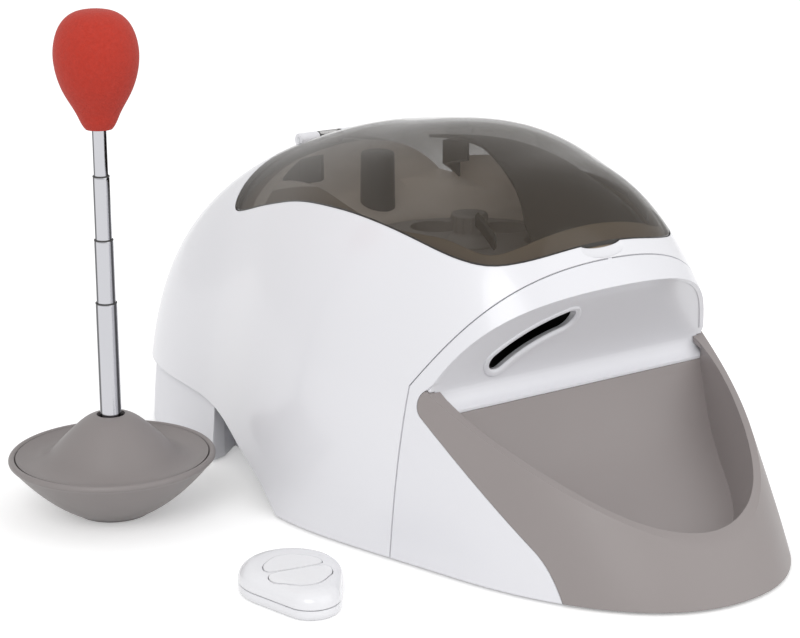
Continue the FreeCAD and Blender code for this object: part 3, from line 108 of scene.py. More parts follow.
def cubic_slopes(params: np.ndarray, values: np.ndarray, closed: bool) -> np.ndarray:
    """Solves the slopes of the smooth cubic curve through the points.

    Args:
        params: The parameter at each point; a closed curve repeats its first point at the end.
        values: The points, one a row.
        closed: Whether the curve's two ends join smoothly.

    Returns:
        The slope at each point.
    """
    steps = np.diff(params)
    count = len(params)
    system = np.zeros((count, count))
    right = np.zeros_like(values)
    chords = (values[1:] - values[:-1]) / steps[:, None] ** 2
    for i in range(1, count - 1):
        system[i, i - 1:i + 2] = [1 / steps[i - 1], 2 / steps[i - 1] + 2 / steps[i], 1 / steps[i]]
        right[i] = 3 * (chords[i - 1] + chords[i])
    if closed:
        system[0, [0, 1, -2]] = [2 / steps[0] + 2 / steps[-1], 1 / steps[0], 1 / steps[-1]]
        right[0] = 3 * (chords[0] + chords[-1])
        system[-1, [0, -1]] = [1, -1]
    else:
        system[0, 0] = system[-1, -1] = 1
        right[0] = end_slope(params, values)
        right[-1] = end_slope(params[::-1], values[::-1])
    return np.linalg.solve(system, right)


def cubic_at(params: np.ndarray, values: np.ndarray, slopes: np.ndarray, where: np.ndarray) -> np.ndarray:
    """Reads a cubic curve at any parameters.

    Args:
        params: The parameter at each known point.
        values: The known points.
        slopes: The slope at each known point.
        where: The parameters to read at.

    Returns:
        One point a row.
    """
    left = np.clip(np.searchsorted(params, where, side="right") - 1, 0, len(params) - 2)
    step = (params[left + 1] - params[left])[:, None]
    share = (where[:, None] - params[left][:, None]) / step
    back = 1 - share
    return (values[left] * (1 + 2 * share) * back ** 2 + values[left + 1] * (3 - 2 * share) * share ** 2
            + slopes[left] * step * share * back ** 2 - slopes[left + 1] * step * share ** 2 * back)


def smooth(points: Sequence[Pair], per_span: int = 10, closed: bool = False) -> list[Pair]:
    """Draws the smooth curve through points.

    Args:
        points: The points in order.
        per_span: How many short lines stand for the curve between two points.
        closed: Whether the curve runs back to its first point.

    Returns:
        The dense points; a closed curve doesn't repeat its first one.
    """
    values = np.array(list(points) + ([points[0]] if closed else []), float)
    params = np.concatenate([[0.0], np.cumsum(np.linalg.norm(np.diff(values, axis=0), axis=1))])
    slopes = cubic_slopes(params, values, closed)
    where = np.concatenate([np.linspace(a, b, per_span, endpoint=False)
                            for a, b in zip(params, params[1:])])
    if not closed:
        where = np.append(where, params[-1])
    return [tuple(point) for point in cubic_at(params, values, slopes, where)]


def grown(points: Sequence[Pair], by: float) -> list[Pair]:
    """Moves each point of a loop outwards by one distance.

    Args:
        points: The loop's points, in order.
        by: The distance.

    Returns:
        The moved points.
    """
    count = len(points)
    moved = []
    for i, (x, y) in enumerate(points):
        along = np.subtract(points[(i + 1) % count], points[i - 1])
        outward = np.array([along[1], -along[0]]) / np.hypot(*along)
        moved.append((x + outward[0] * by, y + outward[1] * by))
    return moved


def eased(points: Sequence[Pair], radius: float, steps: int = 4, closed: bool = True) -> list[Pair]:
    """Rounds the corners of a profile.

    Args:
        points: The profile's corners.
        radius: How far from a corner its rounding starts, at most.
        steps: How many short lines make one corner.
        closed: Whether the profile is a loop; the ends of an open one stay sharp.

    Returns:
        The profile with short curves for corners.
    """
    count = len(points)
    out: list[Pair] = []
    for i, point in enumerate(points):
        if not closed and i in (0, count - 1):
            out.append(point)
            continue
        here = np.array(point)
        before, after = np.array(points[i - 1]) - here, np.array(points[(i + 1) % count]) - here
        back, ahead = np.hypot(*before), np.hypot(*after)
        reach = min(radius, back * CORNER_SHARE, ahead * CORNER_SHARE)
        start = here + before / back * reach
        end = here + after / ahead * reach
        for share in np.linspace(0, 1, steps + 1):
            spot = start * (1 - share) ** 2 + here * 2 * share * (1 - share) + end * share ** 2
            out.append((float(spot[0]), float(spot[1])))
    return out


# ---------------------------------------------------------------- meshes


def new_object(name: str, mesh: bpy.types.Mesh) -> bpy.types.Object:
    """Links a mesh to the scene as an object at the origin."""
    made = bpy.data.objects.new(name, mesh)
    bpy.context.scene.collection.objects.link(made)
    return made


def from_faces(name: str, spots: Sequence[Sequence[float]],
               faces: Iterable[Sequence[int]]) -> bpy.types.Object:
    """Makes an object from millimetre points and faces, with its faces turned outwards.

    Args:
        name: The object's name.
        spots: The points, in millimetres.
        faces: The point numbers round each face.

    Returns:
        The object, in metres.
    """
    mesh = bpy.data.meshes.new(name)
    mesh.from_pydata([tuple(c * MM for c in spot) for spot in spots], [], [tuple(face) for face in faces])
    shape = bmesh.new()
    shape.from_mesh(mesh)
    bmesh.ops.remove_doubles(shape, verts=shape.verts, dist=WELD)
    bmesh.ops.recalc_face_normals(shape, faces=shape.faces)
    shape.to_mesh(mesh)
    shape.free()
    return new_object(name, mesh)


def band(low: int, high: int, count: int) -> list[tuple[int, int, int, int]]:
    """Gives the faces between two rings, from the number of each ring's first point."""
    return [(low + k, low + (k + 1) % count, high + (k + 1) % count, high + k) for k in range(count)]


def prism(name: str, loop: Sequence[Pair], spread: Callable[[float, float, float], Sequence[float]],
          low: float, high: float) -> bpy.types.Object:
    """Draws a flat loop out into a closed block.

    Args:
        name: The object's name.
        loop: The outline's points in its own plane.
        spread: Gives the point in space for a loop point and a depth.
        low: The depth at one end.
        high: The depth at the other.

    Returns:
        The block.
    """
    count = len(loop)
    spots = [spread(a, b, depth) for depth in (low, high) for a, b in loop]
    return from_faces(name, spots,
                      [*band(0, count, count), range(count - 1, -1, -1), range(count, 2 * count)])


def across(name: str, loop: Sequence[Pair]) -> bpy.types.Object:
    """Draws a side-view outline of (y, z) points out over the whole width."""
    return prism(name, loop, lambda y, z, x: (x, y, z), -SIDE, SIDE)


def upright(name: str, loop: Sequence[Pair], low: float, high: float) -> bpy.types.Object:
    """Draws a plan outline of (x, y) points straight upwards."""
    return prism(name, loop, lambda x, y, z: (x, y, z), low, high)


def lathe(name: str, profile: Sequence[Pair], centre: Vector, around: int = 96,
          turn: Matrix | None = None) -> bpy.types.Object:
    """Turns a closed (radius, height) profile about an upright axis.

    Args:
        name: The object's name.
        profile: The profile's corners; points on the axis have radius 0.
        centre: The axis's foot, in millimetres.
        around: How many sides the circle has.
        turn: A turn given to the piece before it is moved to its centre.

    Returns:
        The turned piece.
    """
    spots = []
    for radius, height in profile:
        for k in range(around):
            angle = math.tau * k / around
            spot = Vector((radius * math.cos(angle), radius * math.sin(angle), height))
            spots.append((turn @ spot if turn else spot) + centre)
    faces = []
    for i, (radius, _) in enumerate(profile):
        j = (i + 1) % len(profile)
        if radius or profile[j][0]:
            faces += band(i * around, j * around, around)
    return from_faces(name, spots, faces)


def lofted(name: str, rings: Sequence[Sequence[Sequence[float]]]) -> bpy.types.Object:
    """Skins a stack of rings and closes both ends.

    Args:
        name: The object's name.
        rings: The rings from the bottom up, each with as many points as the others.

    Returns:
        The closed solid.
    """
    count = len(rings[0])
    spots = [spot for ring in rings for spot in ring]
    last = (len(rings) - 1) * count
    faces: list[Sequence[int]] = [range(count - 1, -1, -1), range(last, last + count)]
    for low in range(0, last, count):
        faces += band(low, low + count, count)
    return from_faces(name, spots, faces)


def block(name: str, low: Sequence[float], high: Sequence[float]) -> bpy.types.Object:
    """Makes a box between two corners, in millimetres."""
    return upright(name, [(low[0], low[1]), (high[0], low[1]), (high[0], high[1]), (low[0], high[1])],
                   low[2], high[2])


def plain_mesh(item: bpy.types.Object, name: str) -> bpy.types.Mesh:
    """Turns an object with modifiers into a plain mesh of its own.

    Args:
        item: The object.
        name: The mesh's name.

    Returns:
        The mesh with the modifiers worked in.
    """
    bpy.context.view_layer.update()
    seen = item.evaluated_get(bpy.context.evaluated_depsgraph_get())
    mesh = bpy.data.meshes.new_from_object(seen)
    mesh.name = name
    return mesh


def worked(name: str, base: bpy.types.Object, *steps: tuple[Operation, bpy.types.Object]) -> bpy.types.Object:
    """Works a solid with tools, one after another, and leaves the tools in place.

    Args:
        name: The name of the result.
        base: The solid that is worked; a copy is made of it.
        steps: What is done and with which tool.

    Returns:
        The worked solid.
    """
    made = new_object(name, base.data.copy())
    for number, (operation, tool) in enumerate(steps):
        change = made.modifiers.new(f"step_{number}", "BOOLEAN")
        change.operation, change.solver, change.object = operation.value, "MANIFOLD", tool
        change.material_mode = "TRANSFER"
    mesh = plain_mesh(made, name)
    made.modifiers.clear()
    made.data = mesh
    return made


def joined(name: str, *pieces: bpy.types.Object) -> bpy.types.Object:
    """Puts pieces into one mesh, the first in the first material slot and so on.

    Args:
        name: The name of the result.
        pieces: The pieces, in the order of their slots.

    Returns:
        The joined piece.
    """
    shape = bmesh.new()
    for slot, piece in enumerate(pieces):
        first = len(shape.faces)
        shape.from_mesh(piece.data)
        shape.faces.ensure_lookup_table()
        for face in shape.faces[first:]:
            face.material_index = slot
    mesh = bpy.data.meshes.new(name)
    shape.to_mesh(mesh)
    shape.free()
    return new_object(name, mesh)


def smoothed(item: bpy.types.Object, angle: float = SOFT_ANGLE) -> bpy.types.Object:
    """Shades an object smooth, with the edges past an angle kept sharp."""
    item.data.shade_smooth()
    item.data.set_sharp_from_angle(angle=math.radians(angle))
    return item


def forget(*tools: bpy.types.Object) -> None:
    """Removes objects that were only tools."""
    for tool in tools:
        bpy.data.objects.remove(tool)


def polished_copy(node: str, name: str, angle: float = SOFT_ANGLE) -> bpy.types.Object:
    """Copies a CAD node's mesh, joins its loose triangles and shades it smooth.

    Args:
        node: The node to copy.
        name: The new piece's name.
        angle: Edges sharper than this stay sharp, in degrees.

    Returns:
        The copy.
    """
    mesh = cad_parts[node].data.copy()
    mesh.materials.clear()
    shape = bmesh.new()
    shape.from_mesh(mesh)
    bmesh.ops.remove_doubles(shape, verts=shape.verts, dist=CAD_WELD)
    shape.to_mesh(mesh)
    shape.free()
    return smoothed(new_object(name, mesh), angle)


# ---------------------------------------------------------------- styled form


@dataclass(frozen=True)
class Section:
    """One arched section of the styled form, in a plane that tilts about its foot.

    The foot is where the plane stands along Y, and the tilt its angle up from straight ahead, in
    degrees. The reach runs from the foot to the crown. The shoulder is a share of the reach, the
    crown a share of the half width, and the lean how fast the sides come in below the shoulder.
    """

    foot: float
    tilt: float
    half_width: float
    reach: float
    lean: float
    shoulder: float
    crown: float

    def poles(self, floor: float, inset: float) -> list[Vector]:
        """Gives the section's six control points.

        Args:
            floor: How far below the ground the section stands.
            inset: How far in from the outer face the section runs.

        Returns:
            The control points, from the left foot over the crown to the right foot.
        """
        tilt = math.radians(self.tilt)
        rise = Vector((0, -math.cos(tilt), math.sin(tilt))) * (self.reach - inset)
        half = self.half_width - inset
        shoulder = half - self.lean * self.shoulder * self.reach
        foot = Vector((0, self.foot, -floor))
        left = [foot - Vector((half, 0, 0)), foot + rise * self.shoulder - Vector((shoulder, 0, 0)),
                foot + rise - Vector((self.crown * half, 0, 0))]
        return left + [Vector((-pole.x, pole.y, pole.z)) for pole in reversed(left)]


@dataclass(frozen=True)
class StyledForm:
    """The rounded form that the shell, the bezel and the lid are skins of."""

    floor: float = 60.0
    lengthwise: int = 16
    crosswise: int = 44
    sections: tuple[Section, ...] = (
        Section(-108, 15, 98, 113, 0.42, 0.64, 0.43),
        Section(-102, 40, 98, 116, 0.30, 0.64, 0.56),
        Section(-96, 65, 98, 139, 0.18, 0.64, 0.68),
        Section(-90, 90, 98, 212, 0.06, 0.64, 0.80),
        Section(-45, 90, 107.5, 238, 0.0, 0.64, 0.80),
        Section(0, 90, 116, 246, 0.0, 0.64, 0.80),
        Section(50, 90, 113.5, 241, 0.0, 0.64, 0.80),
        Section(100, 90, 104, 230, 0.0, 0.64, 0.80),
        Section(106, 115, 104, 200, 0.0, 0.70, 0.80),
        Section(112, 140, 104, 135, 0.0, 0.75, 0.81),
        Section(118, 165, 104, 102, 0.0, 0.80, 0.82),
    )

    def rows(self, inset: float) -> np.ndarray:
        """Works out a net of points on the form.

        Args:
            inset: How far in from the outer face.

        Returns:
            The points as rows from nose to tail, each across from left to right.
        """
        poles = np.array([[tuple(pole) for pole in section.poles(self.floor, inset)]
                          for section in self.sections])
        params = np.arange(len(poles), dtype=float)
        where = np.linspace(0, params[-1], self.lengthwise * (len(poles) - 1) + 1)
        lines = [cubic_at(params, poles[:, k], cubic_slopes(params, poles[:, k], False), where)
                 for k in range(poles.shape[1])]
        crown = (lines[2] + lines[3]) / 2
        halves = []
        for curve in ((*lines[:3], crown), (crown, *lines[3:])):
            share = np.linspace(0, 1, self.crosswise + 1)[None, :, None]
            halves.append(sum(weight * (1 - share) ** (3 - k) * share ** k * line[:, None, :]
                              for k, (weight, line) in enumerate(zip((1, 3, 3, 1), curve))))
        return np.concatenate([halves[0], halves[1][:, 1:]], axis=1)

    def solid(self, name: str, inset: float, bottom: float) -> bpy.types.Object:
        """Builds the solid under the form.

        Args:
            name: The object's name.
            inset: How far in from the outer face.
            bottom: The height of its flat underside, in millimetres.

        Returns:
            The closed solid.
        """
        net = self.rows(inset)
        rows, columns = net.shape[:2]
        faces = [(i * columns + k, i * columns + k + 1, (i + 1) * columns + k + 1, (i + 1) * columns + k)
                 for i in range(rows - 1) for k in range(columns - 1)]
        made = from_faces(name, net.reshape(-1, 3).tolist(), faces)
        shape = bmesh.new()
        shape.from_mesh(made.data)
        bmesh.ops.bisect_plane(shape, geom=[*shape.verts, *shape.edges, *shape.faces],
                               plane_co=(0, 0, bottom * MM), plane_no=(0, 0, 1), clear_inner=True)
        bmesh.ops.holes_fill(shape, edges=[edge for edge in shape.edges if edge.is_boundary])
        bmesh.ops.recalc_face_normals(shape, faces=shape.faces)
        shape.to_mesh(made.data)
        shape.free()
        return made


def aligned(piece: bpy.types.Object, *sheets: bpy.types.Object, near: float = 0.03) -> bpy.types.Object:
    """Shades what lies on a smooth sheet exactly as the sheet is, so that cuts leave no dents.

    Args:
        piece: The piece, already shaded smooth.
        sheets: Smooth surfaces that parts of the piece lie on.
        near: How close a point must be to count as on a sheet, in millimetres.

    Returns:
        The piece.
    """
    mesh = piece.data
    normals = [Vector(corner.vector) for corner in mesh.corner_normals]
    for sheet in sheets:
        net = sheet.data
        skin = [face for face in net.polygons if len(face.vertices) <= CELL_CORNERS]
        ways = [Vector() for _ in net.vertices]
        for face in skin:
            for corner in face.vertices:
                ways[corner] += face.normal * face.area
        ways = [way.normalized() for way in ways]
        spots = [vertex.co.copy() for vertex in net.vertices]
        faces = [tuple(face.vertices) for face in skin]
        tree = BVHTree.FromPolygons(spots, faces)
        found: dict[int, Vector] = {}
        for vertex in mesh.vertices:
            spot, _, index, _ = tree.find_nearest(vertex.co, near * MM)
            if spot is None:
                continue
            mean = Vector()
            for corner in faces[index]:
                mean += ways[corner] * (1.0 / ((spots[corner] - spot).length + NEAREST))
            found[vertex.index] = mean.normalized()
        for face in mesh.polygons:
            limit = ON_SHEET if all(corner in found for corner in face.vertices) else BESIDE_SHEET
            for loop, corner in zip(face.loop_indices, face.vertices):
                way = found.get(corner)
                if way is not None and way.dot(face.normal) > limit:
                    normals[loop] = way
    mesh.normals_split_custom_set(normals)
    return piece


def chain(*steps: Pair | Sequence[Pair]) -> list[Pair]:
    """Draws an outline from straight and curved stretches.

    Args:
        steps: Corners, which straight lines join, and lists of points, which a curve runs through.

    Returns:
        The outline's points.
    """
    out: list[Pair] = [steps[0]]
    for step in steps[1:]:
        if isinstance(step, list):
            out += smooth([out[-1], *step], CURVE_STEPS)[1:]
        else:
            out.append(step)
    return out


# ---------------------------------------------------------------- finishes


def wire(tree: bpy.types.NodeTree, node: bpy.types.Node, inputs: dict[str | int, object]) -> bpy.types.Node:
    """Sets a node's inputs.

    Args:
        tree: The tree that the node is in.
        node: The node.
        inputs: A value or another node's socket for each input, by name or number.

    Returns:
        The node.
    """
    for key, value in inputs.items():
        if isinstance(value, bpy.types.NodeSocket):
            tree.links.new(value, node.inputs[key])
        else:
            node.inputs[key].default_value = value
    return node


def add_node(tree: bpy.types.NodeTree, kind: str, inputs: dict[str | int, object],
             **settings: object) -> bpy.types.Node:
    """Adds a node to a tree.

    Args:
        tree: The tree.
        kind: Blender's name for the node.
        inputs: Values or sockets for its inputs, by name or number.
        settings: Other properties of the node.

    Returns:
        The node.
    """
    made = tree.nodes.new(kind)
    for key, value in settings.items():
        setattr(made, key, value)
    return wire(tree, made, inputs)


class Nodes:
    """Lays out the nodes of one material."""

    def __init__(self, name: str) -> None:
        """Starts a material with a shader and object coordinates.

        Args:
            name: The material's name.
        """
        self.material = bpy.data.materials.new(name)
        self.material.use_nodes = True
        self.tree = self.material.node_tree
        self.shader = self.tree.nodes["Principled BSDF"]
        self.place = self.tree.nodes.new("ShaderNodeTexCoord").outputs["Object"]

    def add(self, kind: str, inputs: dict[str | int, object], **settings: object) -> bpy.types.Node:
        """Adds a node to the material."""
        return add_node(self.tree, kind, inputs, **settings)

    def noise(self, scale: float, detail: float = 3.0) -> bpy.types.NodeSocket:
        """Adds a noise over the object's own coordinates."""
        made = self.add("ShaderNodeTexNoise", {"Vector": self.place, "Scale": scale, "Detail": detail})
        return made.outputs["Fac"]

    def reckon(self, operation: str, first: object, second: object = 0.0) -> bpy.types.NodeSocket:
        """Adds a sum, a product or another calculation and gives its value."""
        return self.add("ShaderNodeMath", {0: first, 1: second}, operation=operation).outputs["Value"]

    def ramp(self, factor: bpy.types.NodeSocket, low: float, high: float,
             first: Colour, second: Colour) -> bpy.types.NodeSocket:
        """Adds a ramp between two colours.

        Args:
            factor: What runs along the ramp.
            low: Where the first colour ends.
            high: Where the second colour starts.
            first: The colour at the low end.
            second: The colour at the high end.

        Returns:
            The ramp's colour.
        """
        made = self.add("ShaderNodeValToRGB", {"Fac": factor})
        for stop, place, colour in zip(made.color_ramp.elements, (low, high), (first, second)):
            stop.position = place
            stop.color = (*colour, 1.0)
        return made.outputs["Color"]

    def levels(self, factor: bpy.types.NodeSocket, low: float, high: float) -> bpy.types.NodeSocket:
        """Maps a noise from its usual range to two levels.

        Args:
            factor: The noise.
            low: The level at the range's start.
            high: The level at its end.

        Returns:
            The mapped value.
        """
        start, end = NOISE_RANGE
        made = self.add("ShaderNodeMapRange", {"Value": factor, "From Min": start, "From Max": end,
                                               "To Min": low, "To Max": high})
        return made.outputs["Result"]

    def varied(self, value: float, by: float, factor: bpy.types.NodeSocket) -> bpy.types.NodeSocket:
        """Lets a value vary with a noise, by a share of itself either way."""
        return self.levels(factor, value * (1 - by), value * (1 + by))

    def bump(self, height: bpy.types.NodeSocket, depth: float, strength: float = RELIEF,
             edge: float = 0.0) -> bpy.types.NodeSocket:
        """Adds a bump over softened edges.

        Args:
            height: The relief.
            depth: The relief's depth in metres.
            strength: How much of it shows.
            edge: The radius of the softened edges in metres, or 0.

        Returns:
            The normal for the shader.
        """
        inputs: dict[str, object] = {"Height": height, "Distance": depth, "Strength": strength}
        if edge:
            soft = self.add("ShaderNodeBevel", {"Radius": edge}, samples=BEVEL_SAMPLES)
            inputs["Normal"] = soft.outputs["Normal"]
        return self.add("ShaderNodeBump", inputs).outputs["Normal"]

    def set(self, **values: object) -> None:
        """Sets the shader's inputs, with underscores for spaces in their names."""
        wire(self.tree, self.shader, {key.replace("_", " "): value for key, value in values.items()})


def tone(grey: float, warmth: float = 0.0) -> Colour:
    """A grey from a screen value of 0 to 255, warmed or cooled a little."""
    linear = (grey / 255) ** SCREEN_GAMMA
    return (linear * (1 + warmth), linear, linear * (1 - warmth))


def scaled(colour: Colour, share: float) -> Colour:
    """Darkens or lightens a colour, up to full white."""
    return tuple(min(1.0, part * share) for part in colour)


@dataclass(frozen=True)
class Moulded:
    """Moulded plastic: a faint mottle of colour, a fine grain and softened edges."""

    name: str
    colour: Colour
    roughness: float = 0.35
    mottle: float = 0.04
    grain: float = 1800.0
    depth: float = 0.00003
    coat: float = 0.0
    edge: float = 0.0004
    wander: float = 0.1
    cloud: float = 22.0
    cloud_range: ClassVar[Pair] = (0.2, 0.8)
    wear: ClassVar[float] = 60.0
    coat_roughness: ClassVar[float] = 0.08

    def material(self) -> bpy.types.Material:
        """Builds the material."""
        nodes = Nodes(self.name)
        dark, light = scaled(self.colour, 1 - self.mottle), scaled(self.colour, 1 + self.mottle)
        nodes.set(Base_Color=nodes.ramp(nodes.noise(self.cloud, 0.0), *self.cloud_range, dark, light),
                  Roughness=nodes.varied(self.roughness, self.wander, nodes.noise(self.wear, 1.0)),
                  Normal=nodes.bump(nodes.noise(self.grain, 1.0), self.depth, edge=self.edge),
                  Coat_Weight=self.coat, Coat_Roughness=self.coat_roughness)
        return nodes.material


@dataclass(frozen=True)
class Smoked:
    """Tinted clear plastic: seen through square on, closing towards its edges."""

    name: str
    colour: Colour
    clear: float = 0.34
    edge: float = 0.88
    roughness: float = 0.07
    blend: ClassVar[float] = 0.35
    square_on: ClassVar[float] = 0.35
    shade: ClassVar[float] = 0.92
    cloud: ClassVar[float] = 14.0
    wear: ClassVar[float] = 40.0
    wander: ClassVar[float] = 0.1
    ripple: ClassVar[float] = 25.0
    ripple_depth: ClassVar[float] = 0.0001

    def material(self) -> bpy.types.Material:
        """Builds the material."""
        nodes = Nodes(self.name)
        facing = nodes.add("ShaderNodeLayerWeight", {"Blend": self.blend}).outputs["Facing"]
        body = nodes.add("ShaderNodeMapRange", {"Value": facing, "From Min": self.square_on, "From Max": 1.0,
                                                "To Min": self.clear, "To Max": self.edge})
        dark = scaled(self.colour, self.shade)
        nodes.set(Base_Color=nodes.ramp(nodes.noise(self.cloud), *NOISE_RANGE, dark, self.colour),
                  Alpha=body.outputs["Result"], Specular_IOR_Level=0.5,
                  Coat_Weight=0.2, Coat_Roughness=0.04,
                  Roughness=nodes.varied(self.roughness, self.wander, nodes.noise(self.wear, 1.0)),
                  Normal=nodes.bump(nodes.noise(self.ripple, 1.0), self.ripple_depth, strength=0.05))
        return nodes.material


@dataclass(frozen=True)
class Metal:
    """Bare metal, brushed along one axis or cast."""

    name: str
    colour: Colour
    roughness: float
    stretch: tuple[float, float, float] = (1.0, 1.0, 1.0)
    grain: float = 600.0
    depth: float = 0.00001
    metallic: float = 1.0
    shade: ClassVar[float] = 0.9
    cloud: ClassVar[float] = 40.0
    wander: ClassVar[float] = 0.3

    def material(self) -> bpy.types.Material:
        """Builds the material."""
        nodes = Nodes(self.name)
        stretched = nodes.add("ShaderNodeMapping", {"Vector": nodes.place, "Scale": self.stretch})
        nodes.place = stretched.outputs["Vector"]
        worn = scaled(self.colour, self.shade)
        nodes.set(Base_Color=nodes.ramp(nodes.noise(self.cloud), *NOISE_RANGE, worn, self.colour),
                  Metallic=self.metallic,
                  Roughness=nodes.varied(self.roughness, self.wander, nodes.noise(self.grain)),
                  Normal=nodes.bump(nodes.noise(self.grain, 2.0), self.depth))
        return nodes.material


@dataclass(frozen=True)
class Chrome:
    """Bright plating on an upright tube, with painted reflections: soft long dark bands in its base colour
    that run down its sides, set by the angle round the tube's axis.
    """

    name: str
    colour: Colour
    axis: Pair
    painted_reflections: int = 3
    # The turn of the painted reflection bands about the tube's axis, in degrees.
    bearing: float = 58.0
    roughness: float = 0.12
    painted_reflection_range: ClassVar[Pair] = (0.68, 0.93)
    painted_reflection_dark: ClassVar[float] = 0.17
    wear: ClassVar[float] = 200.0
    wander: ClassVar[float] = 0.15
    grain: ClassVar[float] = 220.0
    depth: ClassVar[float] = 0.000004

    def material(self) -> bpy.types.Material:
        """Builds the material."""
        nodes = Nodes(self.name)
        foot = (self.axis[0] * MM, self.axis[1] * MM, 0.0)
        spoke = nodes.add("ShaderNodeVectorMath", {0: nodes.place, 1: foot}, operation="SUBTRACT")
        parts = nodes.add("ShaderNodeSeparateXYZ", {"Vector": spoke.outputs["Vector"]}).outputs
        # The base colour darkens in bands by the angle round the tube's axis: painted reflections, not a
        # colour the plating has.
        angle = nodes.reckon("ARCTAN2", parts["Y"], parts["X"])
        turned = nodes.reckon("SUBTRACT", angle, math.radians(self.bearing))
        level = nodes.reckon("COSINE", nodes.reckon("MULTIPLY", turned, float(self.painted_reflections)))
        deep = scaled(self.colour, self.painted_reflection_dark)
        nodes.set(Base_Color=nodes.ramp(level, *self.painted_reflection_range, self.colour, deep), Metallic=1.0,
                  Roughness=nodes.varied(self.roughness, self.wander, nodes.noise(self.wear, 1.0)),
                  Normal=nodes.bump(nodes.noise(self.grain, 1.0), self.depth))
        return nodes.material


@dataclass(frozen=True)
class Foam:
    """Dense matt foam: open cells and a soft bloom of colour."""

    name: str
    colour: Colour
    cells: float = 1100.0
    lumps: ClassVar[float] = 420.0
    bloom: ClassVar[float] = 620.0
    shade: ClassVar[float] = 0.9
    matt: ClassVar[Pair] = (0.86, 0.98)
    depth: ClassVar[float] = 0.00022

    def material(self) -> bpy.types.Material:
        """Builds the material."""
        nodes = Nodes(self.name)
        cell = nodes.add("ShaderNodeTexVoronoi", {"Vector": nodes.place, "Scale": self.cells})
        lumps = nodes.noise(self.lumps)
        relief = nodes.reckon("ADD", cell.outputs["Distance"], lumps)
        deep = scaled(self.colour, self.shade)
        nodes.set(Base_Color=nodes.ramp(nodes.noise(self.bloom, 2.0), *NOISE_RANGE, deep, self.colour),
                  Roughness=nodes.levels(lumps, *self.matt), Sheen_Weight=0.08, Sheen_Roughness=0.5,
                  Normal=nodes.bump(relief, self.depth, strength=0.5))
        return nodes.material


@dataclass(frozen=True)
class Banded:
    """Bands of two colours along one axis, such as a cell's wrap or a board's lacquer and tracks."""

    name: str
    first: Colour
    second: Colour
    along: str = "X"
    period: float = 0.12
    share: float = 0.3
    roughness: float = 0.35
    border: ClassVar[float] = 0.02
    waver: ClassVar[float] = 0.4
    wear: ClassVar[float] = 120.0
    wander: ClassVar[float] = 0.2
    grain: ClassVar[float] = 500.0
    depth: ClassVar[float] = 0.00002

    def material(self) -> bpy.types.Material:
        """Builds the material."""
        nodes = Nodes(self.name)
        wave = nodes.add("ShaderNodeTexWave",
                         {"Vector": nodes.place, "Scale": 1.0 / self.period, "Distortion": self.waver},
                         wave_type="BANDS", bands_direction=self.along)
        edges = (self.share, self.share + self.border)
        nodes.set(Base_Color=nodes.ramp(wave.outputs["Fac"], *edges, self.first, self.second),
                  Roughness=nodes.varied(self.roughness, self.wander, nodes.noise(self.wear)),
                  Normal=nodes.bump(nodes.noise(self.grain), self.depth))
        return nodes.material


def glossy(name: str, colour: Colour, roughness: float, coat: float = 0.0) -> Moulded:
    """A white moulding that is almost even in colour and very finely grained."""
    return Moulded(name, colour, roughness, mottle=0.004, grain=240.0, depth=0.000004, coat=coat,
                   wander=0.02, cloud=5.0)


